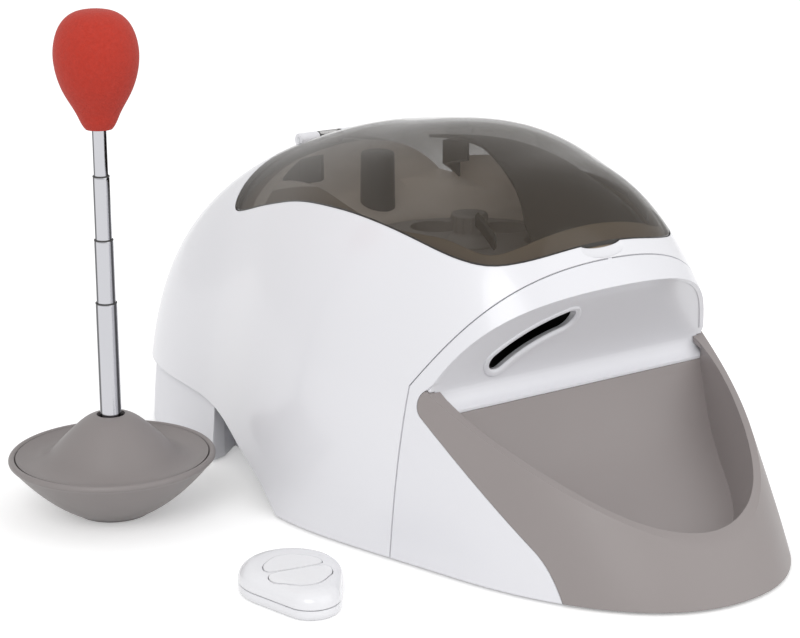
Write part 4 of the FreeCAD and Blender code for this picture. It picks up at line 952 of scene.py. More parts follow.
class Finishes:
    """The materials of the set, each built once."""

    def __init__(self) -> None:
        """Builds every material."""
        white = (0.786, 0.786, 0.818)
        made = [
            glossy("shell_gloss", white, 0.28, coat=0.3),
            glossy("bezel_gloss", (0.77, 0.77, 0.804), 0.3, coat=0.2),
            glossy("remote_gloss", (0.81, 0.81, 0.835), 0.22, coat=0.3),
            glossy("remote_button", (0.825, 0.825, 0.845), 0.3),
            Moulded("base_white", white, 0.45, mottle=0.004, grain=300.0, depth=0.000006, wander=0.02,
                    cloud=5.0),
            Moulded("tray_satin", (0.288, 0.258, 0.253), 0.42, mottle=0.02, grain=700.0, depth=0.00002,
                    wander=0.05),
            Moulded("dish_satin", (0.242, 0.219, 0.215), 0.45, mottle=0.02, grain=700.0, depth=0.00002,
                    wander=0.05),
            Moulded("basin_cream", tone(218, 0.12), 0.45, mottle=0.02, grain=400.0, depth=0.00001),
            Moulded("disc_grey", tone(160, 0.06), 0.45, mottle=0.02, grain=400.0, depth=0.00001),
            Moulded("post_grey", tone(96), 0.4, mottle=0.02, grain=400.0, depth=0.00001),
            # Near black on the chute behind the outlet: painted shade in the recess.
            Moulded("chute_painted_shade", tone(26), 0.6),
            Moulded("rib_dark", tone(58, 0.1), 0.2, mottle=0.02, grain=300.0, depth=0.00001),
            Moulded("control_grey", tone(105), 0.4),
            Moulded("button_grey", tone(165, -0.02), 0.55),
            Moulded("gear_nylon", tone(212, 0.05), 0.5),
            Moulded("window_black", tone(22), 0.08, coat=0.5, grain=300.0, depth=0.000004),
            Moulded("speaker_black", tone(30), 0.7),
            Moulded("foot_rubber", tone(42), 0.8, grain=700.0, depth=0.0001),
            Moulded("seam_dark", tone(60, 0.02), 0.5),
            Moulded("guard_brown", tone(44, 0.3), 0.42, mottle=0.01, grain=200.0, depth=0.000001,
                    edge=0.0, wander=0.02),
            # The basin's seat under the lid's rim: its darker, warmer colour is painted shade.
            Moulded("seat_painted_shade", tone(128, 0.3), 0.35, mottle=0.02, grain=300.0, depth=0.000006),
            Smoked("lid_smoke", tone(60, 0.32)),
            Smoked("lid_edge", tone(34, 0.2), clear=0.85, edge=0.97),
            # Tube plating whose dark bands are painted reflections.
            Chrome("tube_chrome", (0.55, 0.552, 0.58), WAND_PLACE),
            Metal("steel_brushed", (0.58, 0.59, 0.61), 0.3, stretch=(1.0, 8.0, 8.0)),
            Metal("iron_cast", (0.11, 0.11, 0.12), 0.7, grain=900.0, depth=0.0002, metallic=0.6),
            Metal("contact_brass", (0.72, 0.55, 0.27), 0.28),
            Foam("foam_red", (0.49, 0.034, 0.018)),
            Banded("cell_wrap", tone(36), tone(172, 0.15)),
            Banded("board_green", (0.012, 0.085, 0.035), (0.02, 0.13, 0.055), along="Y", period=0.006,
                   share=0.6),
        ]
        self.by_name = {finish.name: finish.material() for finish in made}

    def dress(self, piece: bpy.types.Object, *names: str) -> bpy.types.Object:
        """Gives a piece its materials.

        Args:
            piece: The piece.
            names: The materials' names, in the order of the piece's slots.

        Returns:
            The piece.
        """
        slots = [face.material_index for face in piece.data.polygons]
        piece.data.materials.clear()
        for name in names:
            piece.data.materials.append(self.by_name[name])
        if len(names) > 1:
            piece.data.polygons.foreach_set("material_index", slots)
        return piece


@dataclass
class Workshop:
    """Finishes pieces and sets each on the body it moves with."""

    finishes: Finishes

    def deliver(self, piece: bpy.types.Object, body: str, finish: str, slot: str,
                *replaced: str) -> bpy.types.Object:
        """Dresses a piece, rides it on a body and lets it stand for CAD nodes.

        Args:
            piece: The finished piece.
            body: The body it moves with.
            finish: The material's name, or an empty text where the piece is dressed already.
            slot: The record's slot; not used.
            replaced: The CAD nodes that it stands for.

        Returns:
            The piece.
        """
        if finish:
            self.finishes.dress(piece, finish)
        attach(piece, body)
        if replaced:
            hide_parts(*replaced)
        LOG.info("%s: %d faces on %s", piece.name, len(piece.data.polygons), body)
        return piece

    def keep(self, node: str, finish: str) -> None:
        """Gives a CAD node that stays as it is a better material."""
        self.finishes.dress(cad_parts[node], finish)
        LOG.info("%s keeps its own mesh", node)

    def polish(self, node: str, body: str, finish: str, slot: str, angle: float = SOFT_ANGLE) -> None:
        """Puts a smooth-shaded copy of a CAD node in its place."""
        self.deliver(polished_copy(node, f"{node}_smooth", angle), body, finish, slot, node)


# ---------------------------------------------------------------- repeated pieces


class Repeater:
    """A geometry-node tree that repeats one small piece and ends as a plain mesh."""

    def __init__(self, name: str, shape: bpy.types.Object, finish: bpy.types.Material,
                 sizes: dict[str, tuple[str, object]]) -> None:
        """Starts the tree with its named inputs.

        Args:
            name: The finished piece's name.
            shape: The piece that is repeated, made about the origin.
            finish: The copies' material.
            sizes: More inputs, each with its kind of socket and its value.
        """
        self.name = name
        self.tree = bpy.data.node_groups.new(name, "GeometryNodeTree")
        self.values: dict[str, object] = {}
        inputs = {"Shape": ("NodeSocketObject", shape), "Finish": ("NodeSocketMaterial", finish), **sizes}
        for label, (kind, value) in inputs.items():
            socket = self.tree.interface.new_socket(name=label, in_out="INPUT", socket_type=kind)
            self.values[socket.identifier] = value
        self.tree.interface.new_socket(name="Geometry", in_out="OUTPUT", socket_type="NodeSocketGeometry")
        self.entry = self.tree.nodes.new("NodeGroupInput").outputs
        self.shape = shape

    def add(self, kind: str, inputs: dict[str | int, object], **settings: object) -> bpy.types.Node:
        """Adds a node to the pattern."""
        return add_node(self.tree, kind, inputs, **settings)

    def step_turn(self) -> bpy.types.NodeSocket:
        """Gives each copy on a ring its share of a whole turn about Z."""
        share = self.add("ShaderNodeMath", {0: math.tau, 1: self.entry["Count"]}, operation="DIVIDE")
        index = self.add("GeometryNodeInputIndex", {})
        angle = self.add("ShaderNodeMath", {0: index.outputs[0], 1: share.outputs[0]}, operation="MULTIPLY")
        euler = self.add("ShaderNodeCombineXYZ", {"Z": angle.outputs[0]})
        return self.add("FunctionNodeEulerToRotation", {"Euler": euler.outputs[0]}).outputs[0]

    def bake(self, points: bpy.types.NodeSocket, centre: Sequence[float],
             turn: bpy.types.NodeSocket | None = None) -> bpy.types.Object:
        """Puts the piece on the points and turns the result into a plain mesh.

        Args:
            points: Where the copies go.
            centre: How far the whole pattern is moved, in millimetres.
            turn: The turn of each copy.

        Returns:
            The piece, with no modifier left on it.
        """
        source = self.add("GeometryNodeObjectInfo", {"Object": self.entry["Shape"]}).outputs["Geometry"]
        spread = self.add("GeometryNodeInstanceOnPoints", {"Points": points, "Instance": source})
        if turn:
            self.tree.links.new(turn, spread.inputs["Rotation"])
        moved = self.add("GeometryNodeTransform", {"Geometry": spread.outputs[0],
                                                   "Translation": [c * MM for c in centre]})
        real = self.add("GeometryNodeRealizeInstances", {"Geometry": moved.outputs[0]})
        dressed = self.add("GeometryNodeSetMaterial", {"Geometry": real.outputs[0],
                                                       "Material": self.entry["Finish"]})
        self.add("NodeGroupOutput", {0: dressed.outputs[0]})
        made = new_object(self.name, bpy.data.meshes.new(self.name))
        change = made.modifiers.new("pattern", "NODES")
        change.node_group = self.tree
        for identifier, value in self.values.items():
            change[identifier] = value
        mesh = plain_mesh(made, self.name)
        made.modifiers.clear()
        made.data = mesh
        forget(self.shape)
        return smoothed(made)


def on_ring(name: str, shape: bpy.types.Object, finish: bpy.types.Material, count: int, radius: float,
            centre: Sequence[float]) -> bpy.types.Object:
    """Repeats a piece round a circle, each copy turned to face outwards.

    Args:
        name: The result's name.
        shape: The piece, facing +X from the origin.
        finish: Its material.
        count: How many copies.
        radius: The circle's radius in millimetres.
        centre: The circle's centre in millimetres.

    Returns:
        The ring of copies.
    """
    tree = Repeater(name, shape, finish, {"Count": ("NodeSocketInt", count),
                                          "Radius": ("NodeSocketFloat", radius * MM)})
    circle = tree.add("GeometryNodeMeshCircle", {"Vertices": tree.entry["Count"],
                                                 "Radius": tree.entry["Radius"]})
    return tree.bake(circle.outputs[0], centre, tree.step_turn())


def in_row(name: str, shape: bpy.types.Object, finish: bpy.types.Material, count: int, step: Sequence[float],
           start: Sequence[float]) -> bpy.types.Object:
    """Repeats a piece along a straight row.

    Args:
        name: The result's name.
        shape: The piece, made about the origin.
        finish: Its material.
        count: How many copies.
        step: The way from one copy to the next in millimetres.
        start: The first copy's place in millimetres.

    Returns:
        The row of copies.
    """
    tree = Repeater(name, shape, finish, {"Count": ("NodeSocketInt", count),
                                          "Step": ("NodeSocketVector", [c * MM for c in step])})
    line = tree.add("GeometryNodeMeshLine", {"Count": tree.entry["Count"], "Offset": tree.entry["Step"]})
    return tree.bake(line.outputs[0], start)


def on_grid(name: str, shape: bpy.types.Object, finish: bpy.types.Material, columns: int, rows: int,
            pitch: float, centre: Sequence[float]) -> bpy.types.Object:
    """Repeats a piece over a flat grid.

    Args:
        name: The result's name.
        shape: The piece, made about the origin.
        finish: Its material.
        columns: How many copies along X.
        rows: How many copies along Y.
        pitch: The distance between neighbours in millimetres.
        centre: The grid's middle in millimetres.

    Returns:
        The grid of copies.
    """
    tree = Repeater(name, shape, finish, {"Columns": ("NodeSocketInt", columns),
                                          "Rows": ("NodeSocketInt", rows),
                                          "Width": ("NodeSocketFloat", (columns - 1) * pitch * MM),
                                          "Depth": ("NodeSocketFloat", (rows - 1) * pitch * MM)})
    grid = tree.add("GeometryNodeMeshGrid", {"Size X": tree.entry["Width"], "Size Y": tree.entry["Depth"],
                                             "Vertices X": tree.entry["Columns"],
                                             "Vertices Y": tree.entry["Rows"]})
    return tree.bake(grid.outputs[0], centre)


def at_spots(name: str, shape: bpy.types.Object, finish: bpy.types.Material,
             spots: Sequence[Sequence[float]]) -> bpy.types.Object:
    """Repeats a piece at given places.

    Args:
        name: The result's name.
        shape: The piece, made about the origin.
        finish: Its material.
        spots: The places in millimetres.

    Returns:
        The copies as one piece.
    """
    places = from_faces(f"{name}_places", spots, [])
    tree = Repeater(name, shape, finish, {"Places": ("NodeSocketObject", places)})
    source = tree.add("GeometryNodeObjectInfo", {"Object": tree.entry["Places"]})
    made = tree.bake(source.outputs["Geometry"], (0.0, 0.0, 0.0))
    forget(places)
    return made


# ---------------------------------------------------------------- dispenser


@dataclass
class Housing:
    """The white body: shell, bezel and base, with the outlet's lip and what is under the base."""

    workshop: Workshop
    wall: float = 2.6
    gap: float = 0.7
    rim: float = 4.35
    ground: float = 1.5
    below_ground: float = -5.0
    base_sharp: float = 14.0

    # The seam between shell and bezel, and the hand scoop's arch, as (y, z).
    seam: tuple[Pair, ...] = ((-67, 83.3), (-251.4, 372))
    scoop: tuple[Pair, ...] = ((7.6, 0), (27, 14.5), (49.6, 23.7), (73, 30.5), (98.4, 34), (144, 36),
                               (180, 37.5), (300, 39))

    # The recessed panel under the visor and the tray's rim below it, as (y, z).
    panel: tuple[Pair, ...] = ((-83, 72.5), (-79, 75), (-77, 79.5), (-78.5, 86), (-85, 98), (-96, 113),
                               (-110, 126.5), (-126, 137), (-150, 150))
    panel_foot: float = 70.0
    panel_thick: float = 1.15 * wall
    panel_lift: float = 0.3 * wall
    visor_from: int = 3
    visor_ease: float = 0.5
    jaw: tuple[Pair, ...] = ((-76, 82.8), (-73.4, 79.6), (-72.8, 75.6), (-75.5, 70.3))
    cheek: tuple[Pair, ...] = ((-139, 21.6), (-146.5, 14), (-152, 6), (-157.5, -4))
    tray_rim: tuple[Pair, ...] = ((-75, 82.4), (-129, 55.4), (-182.6, 26.1), (-240, -12))
    tray_fit: float = 0.35

    # The outlet: an arched slot in the panel, seen from the front, with a bead round it.
    slot_arc: float = 68.0
    slot_height: float = 44.0
    slot_half: float = 5.4
    slot_ends: Pair = (106.0, 135.0)
    slot_depth: float = 150.0
    lip_off: float = 0.9
    lip_wide: float = 1.5
    lip_proud: float = 0.9
    lip_out: float = 0.5
    lip_fuller: float = 0.55
    lip_heavy: Pair = (0.6, -0.8)
    lip_step: float = 0.5
    lip_sides: int = 14
    lip_sharp: float = 60.0

    # The lid's hinge, as (y, z), and its half lengths along x.
    hinge: Pair = (133.0, 158.8)
    knuckle: float = 3.8
    knuckle_clear: float = 0.5
    knuckle_half: Pair = (7.7, 20.0)
    pin_bore: float = 1.5
    hinge_sides: int = 48
    sleeve_round: float = 0.4

    # The finger hollow at the lid's front and the catch across the seam.
    hollow_place: Spot = (-1.5, -98.4, 142.6)
    hollow_half: Spot = (13.5, 5.4, 1.5)
    hollow_slope: float = 49.5
    tab_low: Spot = (-1.1, -107.0, 128.0)
    tab_high: Spot = (1.1, -98.0, 148.0)
    tab_gap: float = 0.1

    # The control panel's opening at the back.
    control_place: Spot = (0.0, 209.0, 84.0)
    control_tilt: float = 15.0
    control_half: Pair = (40.5, 23.5)
    control_corner: float = 8.0
    control_depth: float = 30.0

    # What is under the base.
    screws: tuple[Pair, ...] = ((-62, -96), (62, -96), (-88, -20), (88, -20), (-80, 112), (80, 112),
                                (-52, 196), (52, 196))
    screw_head: tuple[Pair, ...] = ((0.0, 0.2), (3.3, 0.2), (3.3, -0.15), (2.6, -0.55), (1.2, -0.7),
                                    (0.0, -0.72))
    screw_slot: Pair = (1.9, 0.32)
    screw_slot_low: float = -1.0
    screw_slot_high: float = -0.35
    # A thin flat disc stands for each sound hole; its dark colour is partly painted shade.
    sound_hole: tuple[Pair, ...] = ((0.0, 0.1), (1.1, 0.1), (1.1, -0.05), (0.9, -0.08), (0.0, -0.08))
    sound_place: Pair = (52.0, 10.0)
    sound_holes: int = 7
    sound_pitch: float = 4.6

    def build(self) -> None:
        """Builds the housing's pieces and dresses the ones that stay."""
        shop = self.workshop
        form = StyledForm()
        outer = form.solid("outer_form", 0.0, self.ground)
        inner = form.solid("inner_form", self.wall, self.below_ground)
        skin = worked("skin", outer, (Operation.CUT, inner))
        shop.deliver(self.shell(skin, outer), "dispenser", "shell_gloss", "shell_white", "main_shell")
        shop.deliver(self.bezel(form, skin, outer), "dispenser", "bezel_gloss", "shell_white", "front_bezel")
        forget(outer, inner, skin)
        shop.deliver(self.knuckles(), "dispenser", "shell_gloss", "shell_white")
        shop.polish("base_pan", "dispenser", "base_white", "shell_white", self.base_sharp)
        shop.deliver(self.outlet_lip(), "dispenser", "bezel_gloss", "shell_white")
        shop.deliver(self.base_screws(), "dispenser", "", "steel")
        shop.deliver(self.speaker_holes(), "dispenser", "", "foot_rubber")
        for place in ("front_left", "front_right", "rear_left", "rear_right"):
            shop.polish(f"foot_{place}", "dispenser", "foot_rubber", "foot_rubber")

    def ahead_of_seam(self, name: str, shift: float) -> bpy.types.Object:
        """Builds the space ahead of the seam, moved forward by the shift."""
        corners = [(y - shift, z) for y, z in self.seam]
        return across(name, [(corners[0][0], -FAR), *corners, (-FAR, corners[-1][1]), (-FAR, -FAR)])

    def ahead_of_bezel(self, name: str) -> bpy.types.Object:
        """Builds the space ahead of the bezel's edge, where the tray and its open bowl are.

        Args:
            name: The object's name.

        Returns:
            The space as a block.
        """
        visor = [(y - self.visor_ease, z) for y, z in reversed(self.panel[self.visor_from:])]
        jaw, cheek = list(self.jaw), list(self.cheek)
        return across(name, chain(visor[0], visor[1:], jaw[0], jaw[1:], cheek[0], cheek[1:],
                                  (-FAR, cheek[-1][1]), (-FAR, visor[0][1])))

    def control_opening(self) -> bpy.types.Object:
        """Builds the opening for the control panel at the back."""
        wide, tall = self.control_half
        upwards = Matrix.Rotation(math.radians(90 - self.control_tilt), 3, "X")
        turn = Matrix.Rotation(math.pi, 3, "Z") @ upwards
        loop = eased([(-wide, -tall), (wide, -tall), (wide, tall), (-wide, tall)], self.control_corner, 8)
        return prism("control_opening", loop,
                     lambda x, y, z: turn @ Vector((x, y, z)) + Vector(self.control_place),
                     -self.control_depth, self.control_depth)

    def barrel(self, name: str, start: float, end: float, radius: float,
               bore: float = 0.0) -> bpy.types.Object:
        """Turns a round bar or sleeve on the hinge's line.

        Args:
            name: The object's name.
            start: Where it starts along x.
            end: Where it ends along x.
            radius: Its outer radius.
            bore: The radius of the hole through it, or 0 for a bar.

        Returns:
            The bar or sleeve.
        """
        corners = [(bore, start), (radius, start), (radius, end), (bore, end)]
        profile = eased(corners, self.sleeve_round, 3) if bore else corners
        sideways = Matrix.Rotation(math.pi / 2, 3, "Y")
        return lathe(name, profile, Vector((0.0, *self.hinge)), self.hinge_sides, sideways)

    def hinge_pocket(self, name: str, half: float) -> bpy.types.Object:
        """Builds the round space that a knuckle turns in, to either side of the middle."""
        return self.barrel(name, -half, half, self.knuckle + self.knuckle_clear)

    def shell(self, skin: bpy.types.Object, outer: bpy.types.Object) -> bpy.types.Object:
        """Cuts the shell out of the form's skin, with a finger hollow at the lid's front.

        Args:
            skin: The form's skin, as thick as the wall.
            outer: The whole form, which the shell is shaded like.

        Returns:
            The shell.
        """
        low = self.below_ground
        tools = [self.ahead_of_seam("seam_space", 0.0),
                 across("scoop", chain((4.0, low), self.scoop[0], list(self.scoop[1:]),
                                       (self.scoop[-1][0], low))),
                 upright("lid_opening", Lid.outline(0.0), Lid.foot, FAR),
                 self.control_opening(),
                 self.hinge_pocket("lid_barrel_space", self.knuckle_half[0]),
                 self.finger_hollow()]
        made = worked("main_shell_moulded", skin, *[(Operation.CUT, tool) for tool in tools])
        forget(*tools)
        return aligned(smoothed(made), outer)

    def finger_hollow(self) -> bpy.types.Object:
        """Builds the shallow hollow under the lid's front edge that a finger reaches into."""
        arc = [(math.cos(a), math.sin(a)) for a in np.linspace(-math.pi / 2, math.pi / 2, 13)]
        arc[0], arc[-1] = (0.0, -1.0), (0.0, 1.0)
        stretch = Matrix.Rotation(math.radians(self.hollow_slope), 3, "X") @ Matrix.Diagonal(self.hollow_half)
        return lathe("finger_hollow", arc, Vector(self.hollow_place), 64, stretch)

    def bezel(self, form: StyledForm, skin: bpy.types.Object, outer: bpy.types.Object) -> bpy.types.Object:
        """Builds the bezel: the visor, the recessed panel with its outlet and the sides of the nose.

        Args:
            form: The styled form.
            skin: The form's skin, as thick as the wall.
            outer: The whole form, which the bezel is shaded like.

        Returns:
            The bezel.
        """
        region = self.ahead_of_seam("bezel_region", self.gap)
        nose = self.ahead_of_bezel("nose_space")
        visor = worked("visor", skin, (Operation.KEEP, region), (Operation.CUT, nose))
        panel = self.recessed_panel(form, region)
        envelope = self.tray_envelope(form, nose, outer)
        slot = prism("slot", [place for place, _ in self.slot_loop(0.0)],
                     lambda x, z, y: (x, y, z), -self.slot_depth, 0.0)
        tab = self.seam_tab(skin)
        made = worked("front_bezel_moulded", visor, (Operation.JOIN, panel), (Operation.JOIN, tab),
                      (Operation.CUT, envelope), (Operation.CUT, slot))
        sheet = self.panel_sheet()
        aligned(smoothed(made), outer, sheet)
        forget(region, nose, visor, panel, envelope, slot, tab, sheet)
        return made

    def recessed_panel(self, form: StyledForm, region: bpy.types.Object) -> bpy.types.Object:
        """Builds the panel as a band inside the form, ahead of the seam.

        Args:
            form: The styled form.
            region: The space ahead of the seam.

        Returns:
            The panel.
        """
        front = smooth(self.panel)
        edge = front[0][0]
        back = [(y + self.panel_thick, z + self.panel_lift) for y, z in reversed(front)]
        strip = across("panel_band", [(edge, self.panel_foot), *front, *back,
                                      (edge + self.panel_thick, self.panel_foot)])
        middle = form.solid("middle_form", self.wall / 2, self.below_ground)
        panel = worked("panel", strip, (Operation.KEEP, middle), (Operation.KEEP, region))
        forget(strip, middle)
        return panel

    def tray_envelope(self, form: StyledForm, nose: bpy.types.Object,
                      outer: bpy.types.Object) -> bpy.types.Object:
        """Builds the space that the tray's raised rim takes out of the bezel.

        Args:
            form: The styled form.
            nose: The space ahead of the bezel's edge.
            outer: The whole form.

        Returns:
            The space, as a solid.
        """
        inside = form.solid("tray_form", self.rim, self.below_ground)
        rim = [(y, z + self.tray_fit) for y, z in self.tray_rim]
        below = across("below_rim", chain((0, rim[0][1]), rim[0], rim[1:], (-FAR, rim[-1][1]), (-FAR, -FAR),
                                          (0, -FAR)))
        envelope = worked("envelope", outer, (Operation.CUT, inside), (Operation.KEEP, nose),
                          (Operation.KEEP, below))
        forget(inside, below)
        return envelope

    def panel_sheet(self) -> bpy.types.Object:
        """Draws the panel's front as one smooth sheet that faces forwards."""
        spots = [(x, y, z) for y, z in smooth(self.panel) for x in (-FAR, FAR)]
        sheet = from_faces("panel_sheet", spots,
                           [(i, i + 1, i + 3, i + 2) for i in range(0, len(spots) - 2, 2)])
        if sheet.data.vertices[0].normal.y > 0:
            sheet.data.flip_normals()
        return sheet

    def seam_tab(self, skin: bpy.types.Object) -> bpy.types.Object:
        """Builds the small catch that bridges the seam at the middle of the visor.

        Args:
            skin: The form's skin, which the catch is cut from.

        Returns:
            The catch.
        """
        region = self.ahead_of_seam("tab_region", self.tab_gap)
        around = block("tab_block", self.tab_low, self.tab_high)
        tab = worked("seam_tab", skin, (Operation.KEEP, region), (Operation.KEEP, around))
        forget(region, around)
        return tab

    def knuckles(self) -> bpy.types.Object:
        """Turns the shell's two hinge knuckles."""
        near, far = self.knuckle_half
        right = self.barrel("knuckle_right", near, far, self.knuckle, self.pin_bore)
        left = self.barrel("knuckle_left", -far, -near, self.knuckle, self.pin_bore)
        made = worked("hinge_knuckles", right, (Operation.JOIN, left))
        forget(left, right)
        return smoothed(made)

    def slot_loop(self, grow: float, steps: int = 16) -> list[tuple[Pair, Pair]]:
        """Walks round the outlet slot.

        Args:
            grow: How far outside the slot's edge the walk runs.
            steps: How many points there are on each of the four arcs.

        Returns:
            Each point's (x, z) place and the way out from the slot there.
        """
        first, last = (math.radians(angle) for angle in self.slot_ends)
        bend, half = self.slot_arc, self.slot_half + grow
        walk = []

        def arc(centre: Pair, radius: float, start: float, end: float, way: int) -> None:
            """Walks along one arc.

            Args:
                centre: The arc's centre.
                radius: Its radius.
                start: The angle at its start.
                end: The angle at its end.
                way: 1 where the slot's outside is away from the centre, -1 where it is towards it.
            """
            for angle in np.linspace(start, end, steps, endpoint=False):
                out = (math.cos(angle) * way, math.sin(angle) * way)
                place = (centre[0] + radius * math.cos(angle), centre[1] + radius * math.sin(angle))
                walk.append((place, out))

        middle = (0.0, self.slot_height)
        ends = [(bend * math.cos(a), self.slot_height + bend * math.sin(a)) for a in (first, last)]
        arc(middle, bend + half, first, last, 1)
        arc(ends[1], half, last, last + math.pi, 1)
        arc(middle, bend - half, last, first, -1)
        arc(ends[0], half, first + math.pi, first + math.tau, 1)
        return walk

    def outlet_lip(self) -> bpy.types.Object:
        """Sweeps a soft bead round the outlet, fuller along its lower edge."""
        curve = smooth(self.panel)
        fronts, heights = [y for y, _ in curve], [z for _, z in curve]
        step = self.lip_step
        rings = []
        for (x, z), (out_x, out_z) in self.slot_loop(self.lip_off):
            front = float(np.interp(z, heights, fronts))
            ahead = float(np.interp(z + step, heights, fronts)) - front
            along = Vector((0.0, ahead, step)).normalized()
            proud = Vector((0.0, -along.z, along.y))
            away = (Vector((1, 0, 0)) * out_x + along * out_z).normalized()
            heavy = out_x * self.lip_heavy[0] + out_z * self.lip_heavy[1]
            fuller = 1.0 + self.lip_fuller * max(0.0, heavy)
            centre = Vector((x, front, z)) + away * self.lip_out * fuller
            rings.append([centre + away * math.cos(t) * self.lip_wide * fuller
                          + proud * math.sin(t) * self.lip_proud * fuller
                          for t in np.linspace(0, math.tau, self.lip_sides, endpoint=False)])
        count, around = len(rings), len(rings[0])
        faces = [face for i in range(count) for face in band(i * around, (i + 1) % count * around, around)]
        made = from_faces("outlet_lip", [spot for ring in rings for spot in ring], faces)
        return smoothed(made, self.lip_sharp)

    def base_screws(self) -> bpy.types.Object:
        """Sets cross-head screws into the underside of the base."""
        head = lathe("screw_head", self.screw_head, Vector(), 20)
        slots = [block(f"screw_slot_{turn}", (-x, -y, self.screw_slot_low), (x, y, self.screw_slot_high))
                 for turn, (x, y) in enumerate((self.screw_slot, self.screw_slot[::-1]))]
        crossed = worked("screw_crossed", head, *[(Operation.CUT, slot) for slot in slots])
        forget(head, *slots)
        return at_spots("base_screws", crossed, self.workshop.finishes.by_name["steel_brushed"],
                        [(x, y, self.ground) for x, y in self.screws])

    def speaker_holes(self) -> bpy.types.Object:
        """Marks the sound holes under the speaker with flat dark discs: partly the dark speaker behind them,
        partly painted shade in the holes.
        """
        hole = lathe("sound_hole", self.sound_hole, Vector(), 16)
        return on_grid("speaker_holes", hole, self.workshop.finishes.by_name["seam_dark"], self.sound_holes,
                       self.sound_holes, self.sound_pitch, (*self.sound_place, self.ground))


@dataclass
class Lid:
    """The smoked lid with its ribs and its hinge."""

    workshop: Workshop
    wall: float = 2.0
    gap: float = 0.5
    upright_limit: float = 0.03
    form_low: float = 60.0
    hollow_low: float = 50.0
    leaf_low: Spot = (-7.0, 122.0, 159.4)
    leaf_high: Spot = (7.0, 132.5, 161.6)
    barrel_half: float = 7.0
    bore_half: float = 9.0
    pin_clear: float = 0.1
    foot: ClassVar[float] = 100.0
    half: ClassVar[tuple[Pair, ...]] = (
        (0, 131), (40, 130), (60, 126.5), (69, 119), (71.3, 107), (71.6, 90), (73.4, 66), (75.6, 40),
        (76.9, 12), (75, -16), (70.2, -44), (64.4, -68), (54.8, -83.6), (38, -93), (18, -96.3), (0, -96.9))

    @classmethod
    def outline(cls, grow: float) -> list[Pair]:
        """Draws the lid's plan outline, grown by a distance."""
        loop = [*cls.half, *[(-x, y) for x, y in reversed(cls.half[1:-1])]]
        return grown(smooth(loop, 12, closed=True), -grow)

    def build(self) -> None:
        """Builds the lid's pieces."""
        shop = self.workshop
        shop.deliver(self.cover(), "lid", "", "lid_smoke", "hopper_lid")
        for end in ("rear", "front"):
            for hand in ("left", "right"):
                shop.polish(f"lid_rib_{end}_{hand}", "lid", "rib_dark", "rib_smoke")
        shop.keep("hinge_pin", "steel_brushed")

    def cover(self) -> bpy.types.Object:
        """Cuts the lid out of the form's skin and adds its hinge leaf."""
        form, hinge = StyledForm(), Housing(self.workshop)
        outer = form.solid("lid_form", 0.0, self.form_low)
        inner = form.solid("lid_hollow", self.wall, self.hollow_low)
        plan = upright("lid_plan", self.outline(-self.gap), self.foot, FAR)
        pocket = hinge.hinge_pocket("hinge_pocket", hinge.knuckle_half[1] + hinge.knuckle_clear)
        skin = worked("lid_skin", outer, (Operation.CUT, inner), (Operation.KEEP, plan),
                      (Operation.CUT, pocket))
        leaf = block("lid_leaf", self.leaf_low, self.leaf_high)
        barrel = hinge.barrel("lid_barrel", -self.barrel_half, self.barrel_half, hinge.knuckle)
        bore = hinge.barrel("lid_bore", -self.bore_half, self.bore_half, hinge.pin_bore + self.pin_clear)
        cover = worked("hopper_lid_moulded", skin, (Operation.JOIN, leaf), (Operation.JOIN, barrel),
                       (Operation.CUT, bore))
        aligned(smoothed(cover), outer)
        self.workshop.finishes.dress(cover, "lid_smoke", "lid_edge")
        for face in cover.data.polygons:
            face.material_index = int(abs(face.normal.z) < self.upright_limit)
        forget(outer, inner, plan, pocket, skin, leaf, barrel, bore)
        return cover


@dataclass
class Hopper:
    """The basin under the lid, the disc that turns in it and the guard over its front."""

    workshop: Workshop
    disc_centre: Spot = (0.0, 5.0, 123.4)
    seat_width: float = 9.5
    knob_neck: float = 8.4
    grips: int = 12
    grip_round: float = 0.4
    grip_plan: tuple[Pair, ...] = ((-0.7, -0.5), (0.6, -0.5), (0.6, 0.5), (-0.7, 0.5))
    grip_leans: tuple[Pair, ...] = ((7.0, 0.0), (10.0, 0.2), (14.0, 0.6), (15.4, 0.4))

    def build(self) -> None:
        """Builds the hopper's pieces."""
        shop = self.workshop
        shop.deliver(self.basin(), "dispenser", "", "inner_white", "treat_hopper")
        shop.polish("hopper_post", "dispenser", "post_grey", "inner_white")
        shop.polish("hopper_guard", "dispenser", "guard_brown", "lid_smoke")
        shop.polish("treat_disc", "disc_drive", "disc_grey", "disc_grey")
        shop.polish("disc_knob", "disc_drive", "disc_grey", "disc_grey")
        shop.deliver(self.knob_grips(), "disc_drive", "", "disc_grey")

    def basin(self) -> bpy.types.Object:
        """Finishes the basin, with the seat that the lid rests on in a darker, warmer colour: painted shade
        under the lid's rim.
        """
        whole = polished_copy("treat_hopper", "hopper_whole")
        plan = upright("basin_plan", Lid.outline(-self.seat_width), -FAR, FAR)
        inside = worked("basin_inside", whole, (Operation.KEEP, plan))
        seat = worked("basin_seat", whole, (Operation.CUT, plan))
        made = smoothed(joined("treat_hopper_moulded", inside, seat))
        self.workshop.finishes.dress(made, "basin_cream", "seat_painted_shade")
        forget(whole, plan, inside, seat)
        return made

    def knob_grips(self) -> bpy.types.Object:
        """Sets small upright grips round the knob's neck."""
        plan = eased(self.grip_plan, self.grip_round, 3)
        grip = lofted("knob_grip", [[(x + lean, y, z) for x, y in plan] for z, lean in self.grip_leans])
        return on_ring("knob_grips", grip, self.workshop.finishes.by_name["disc_grey"], self.grips,
                       self.knob_neck, self.disc_centre)


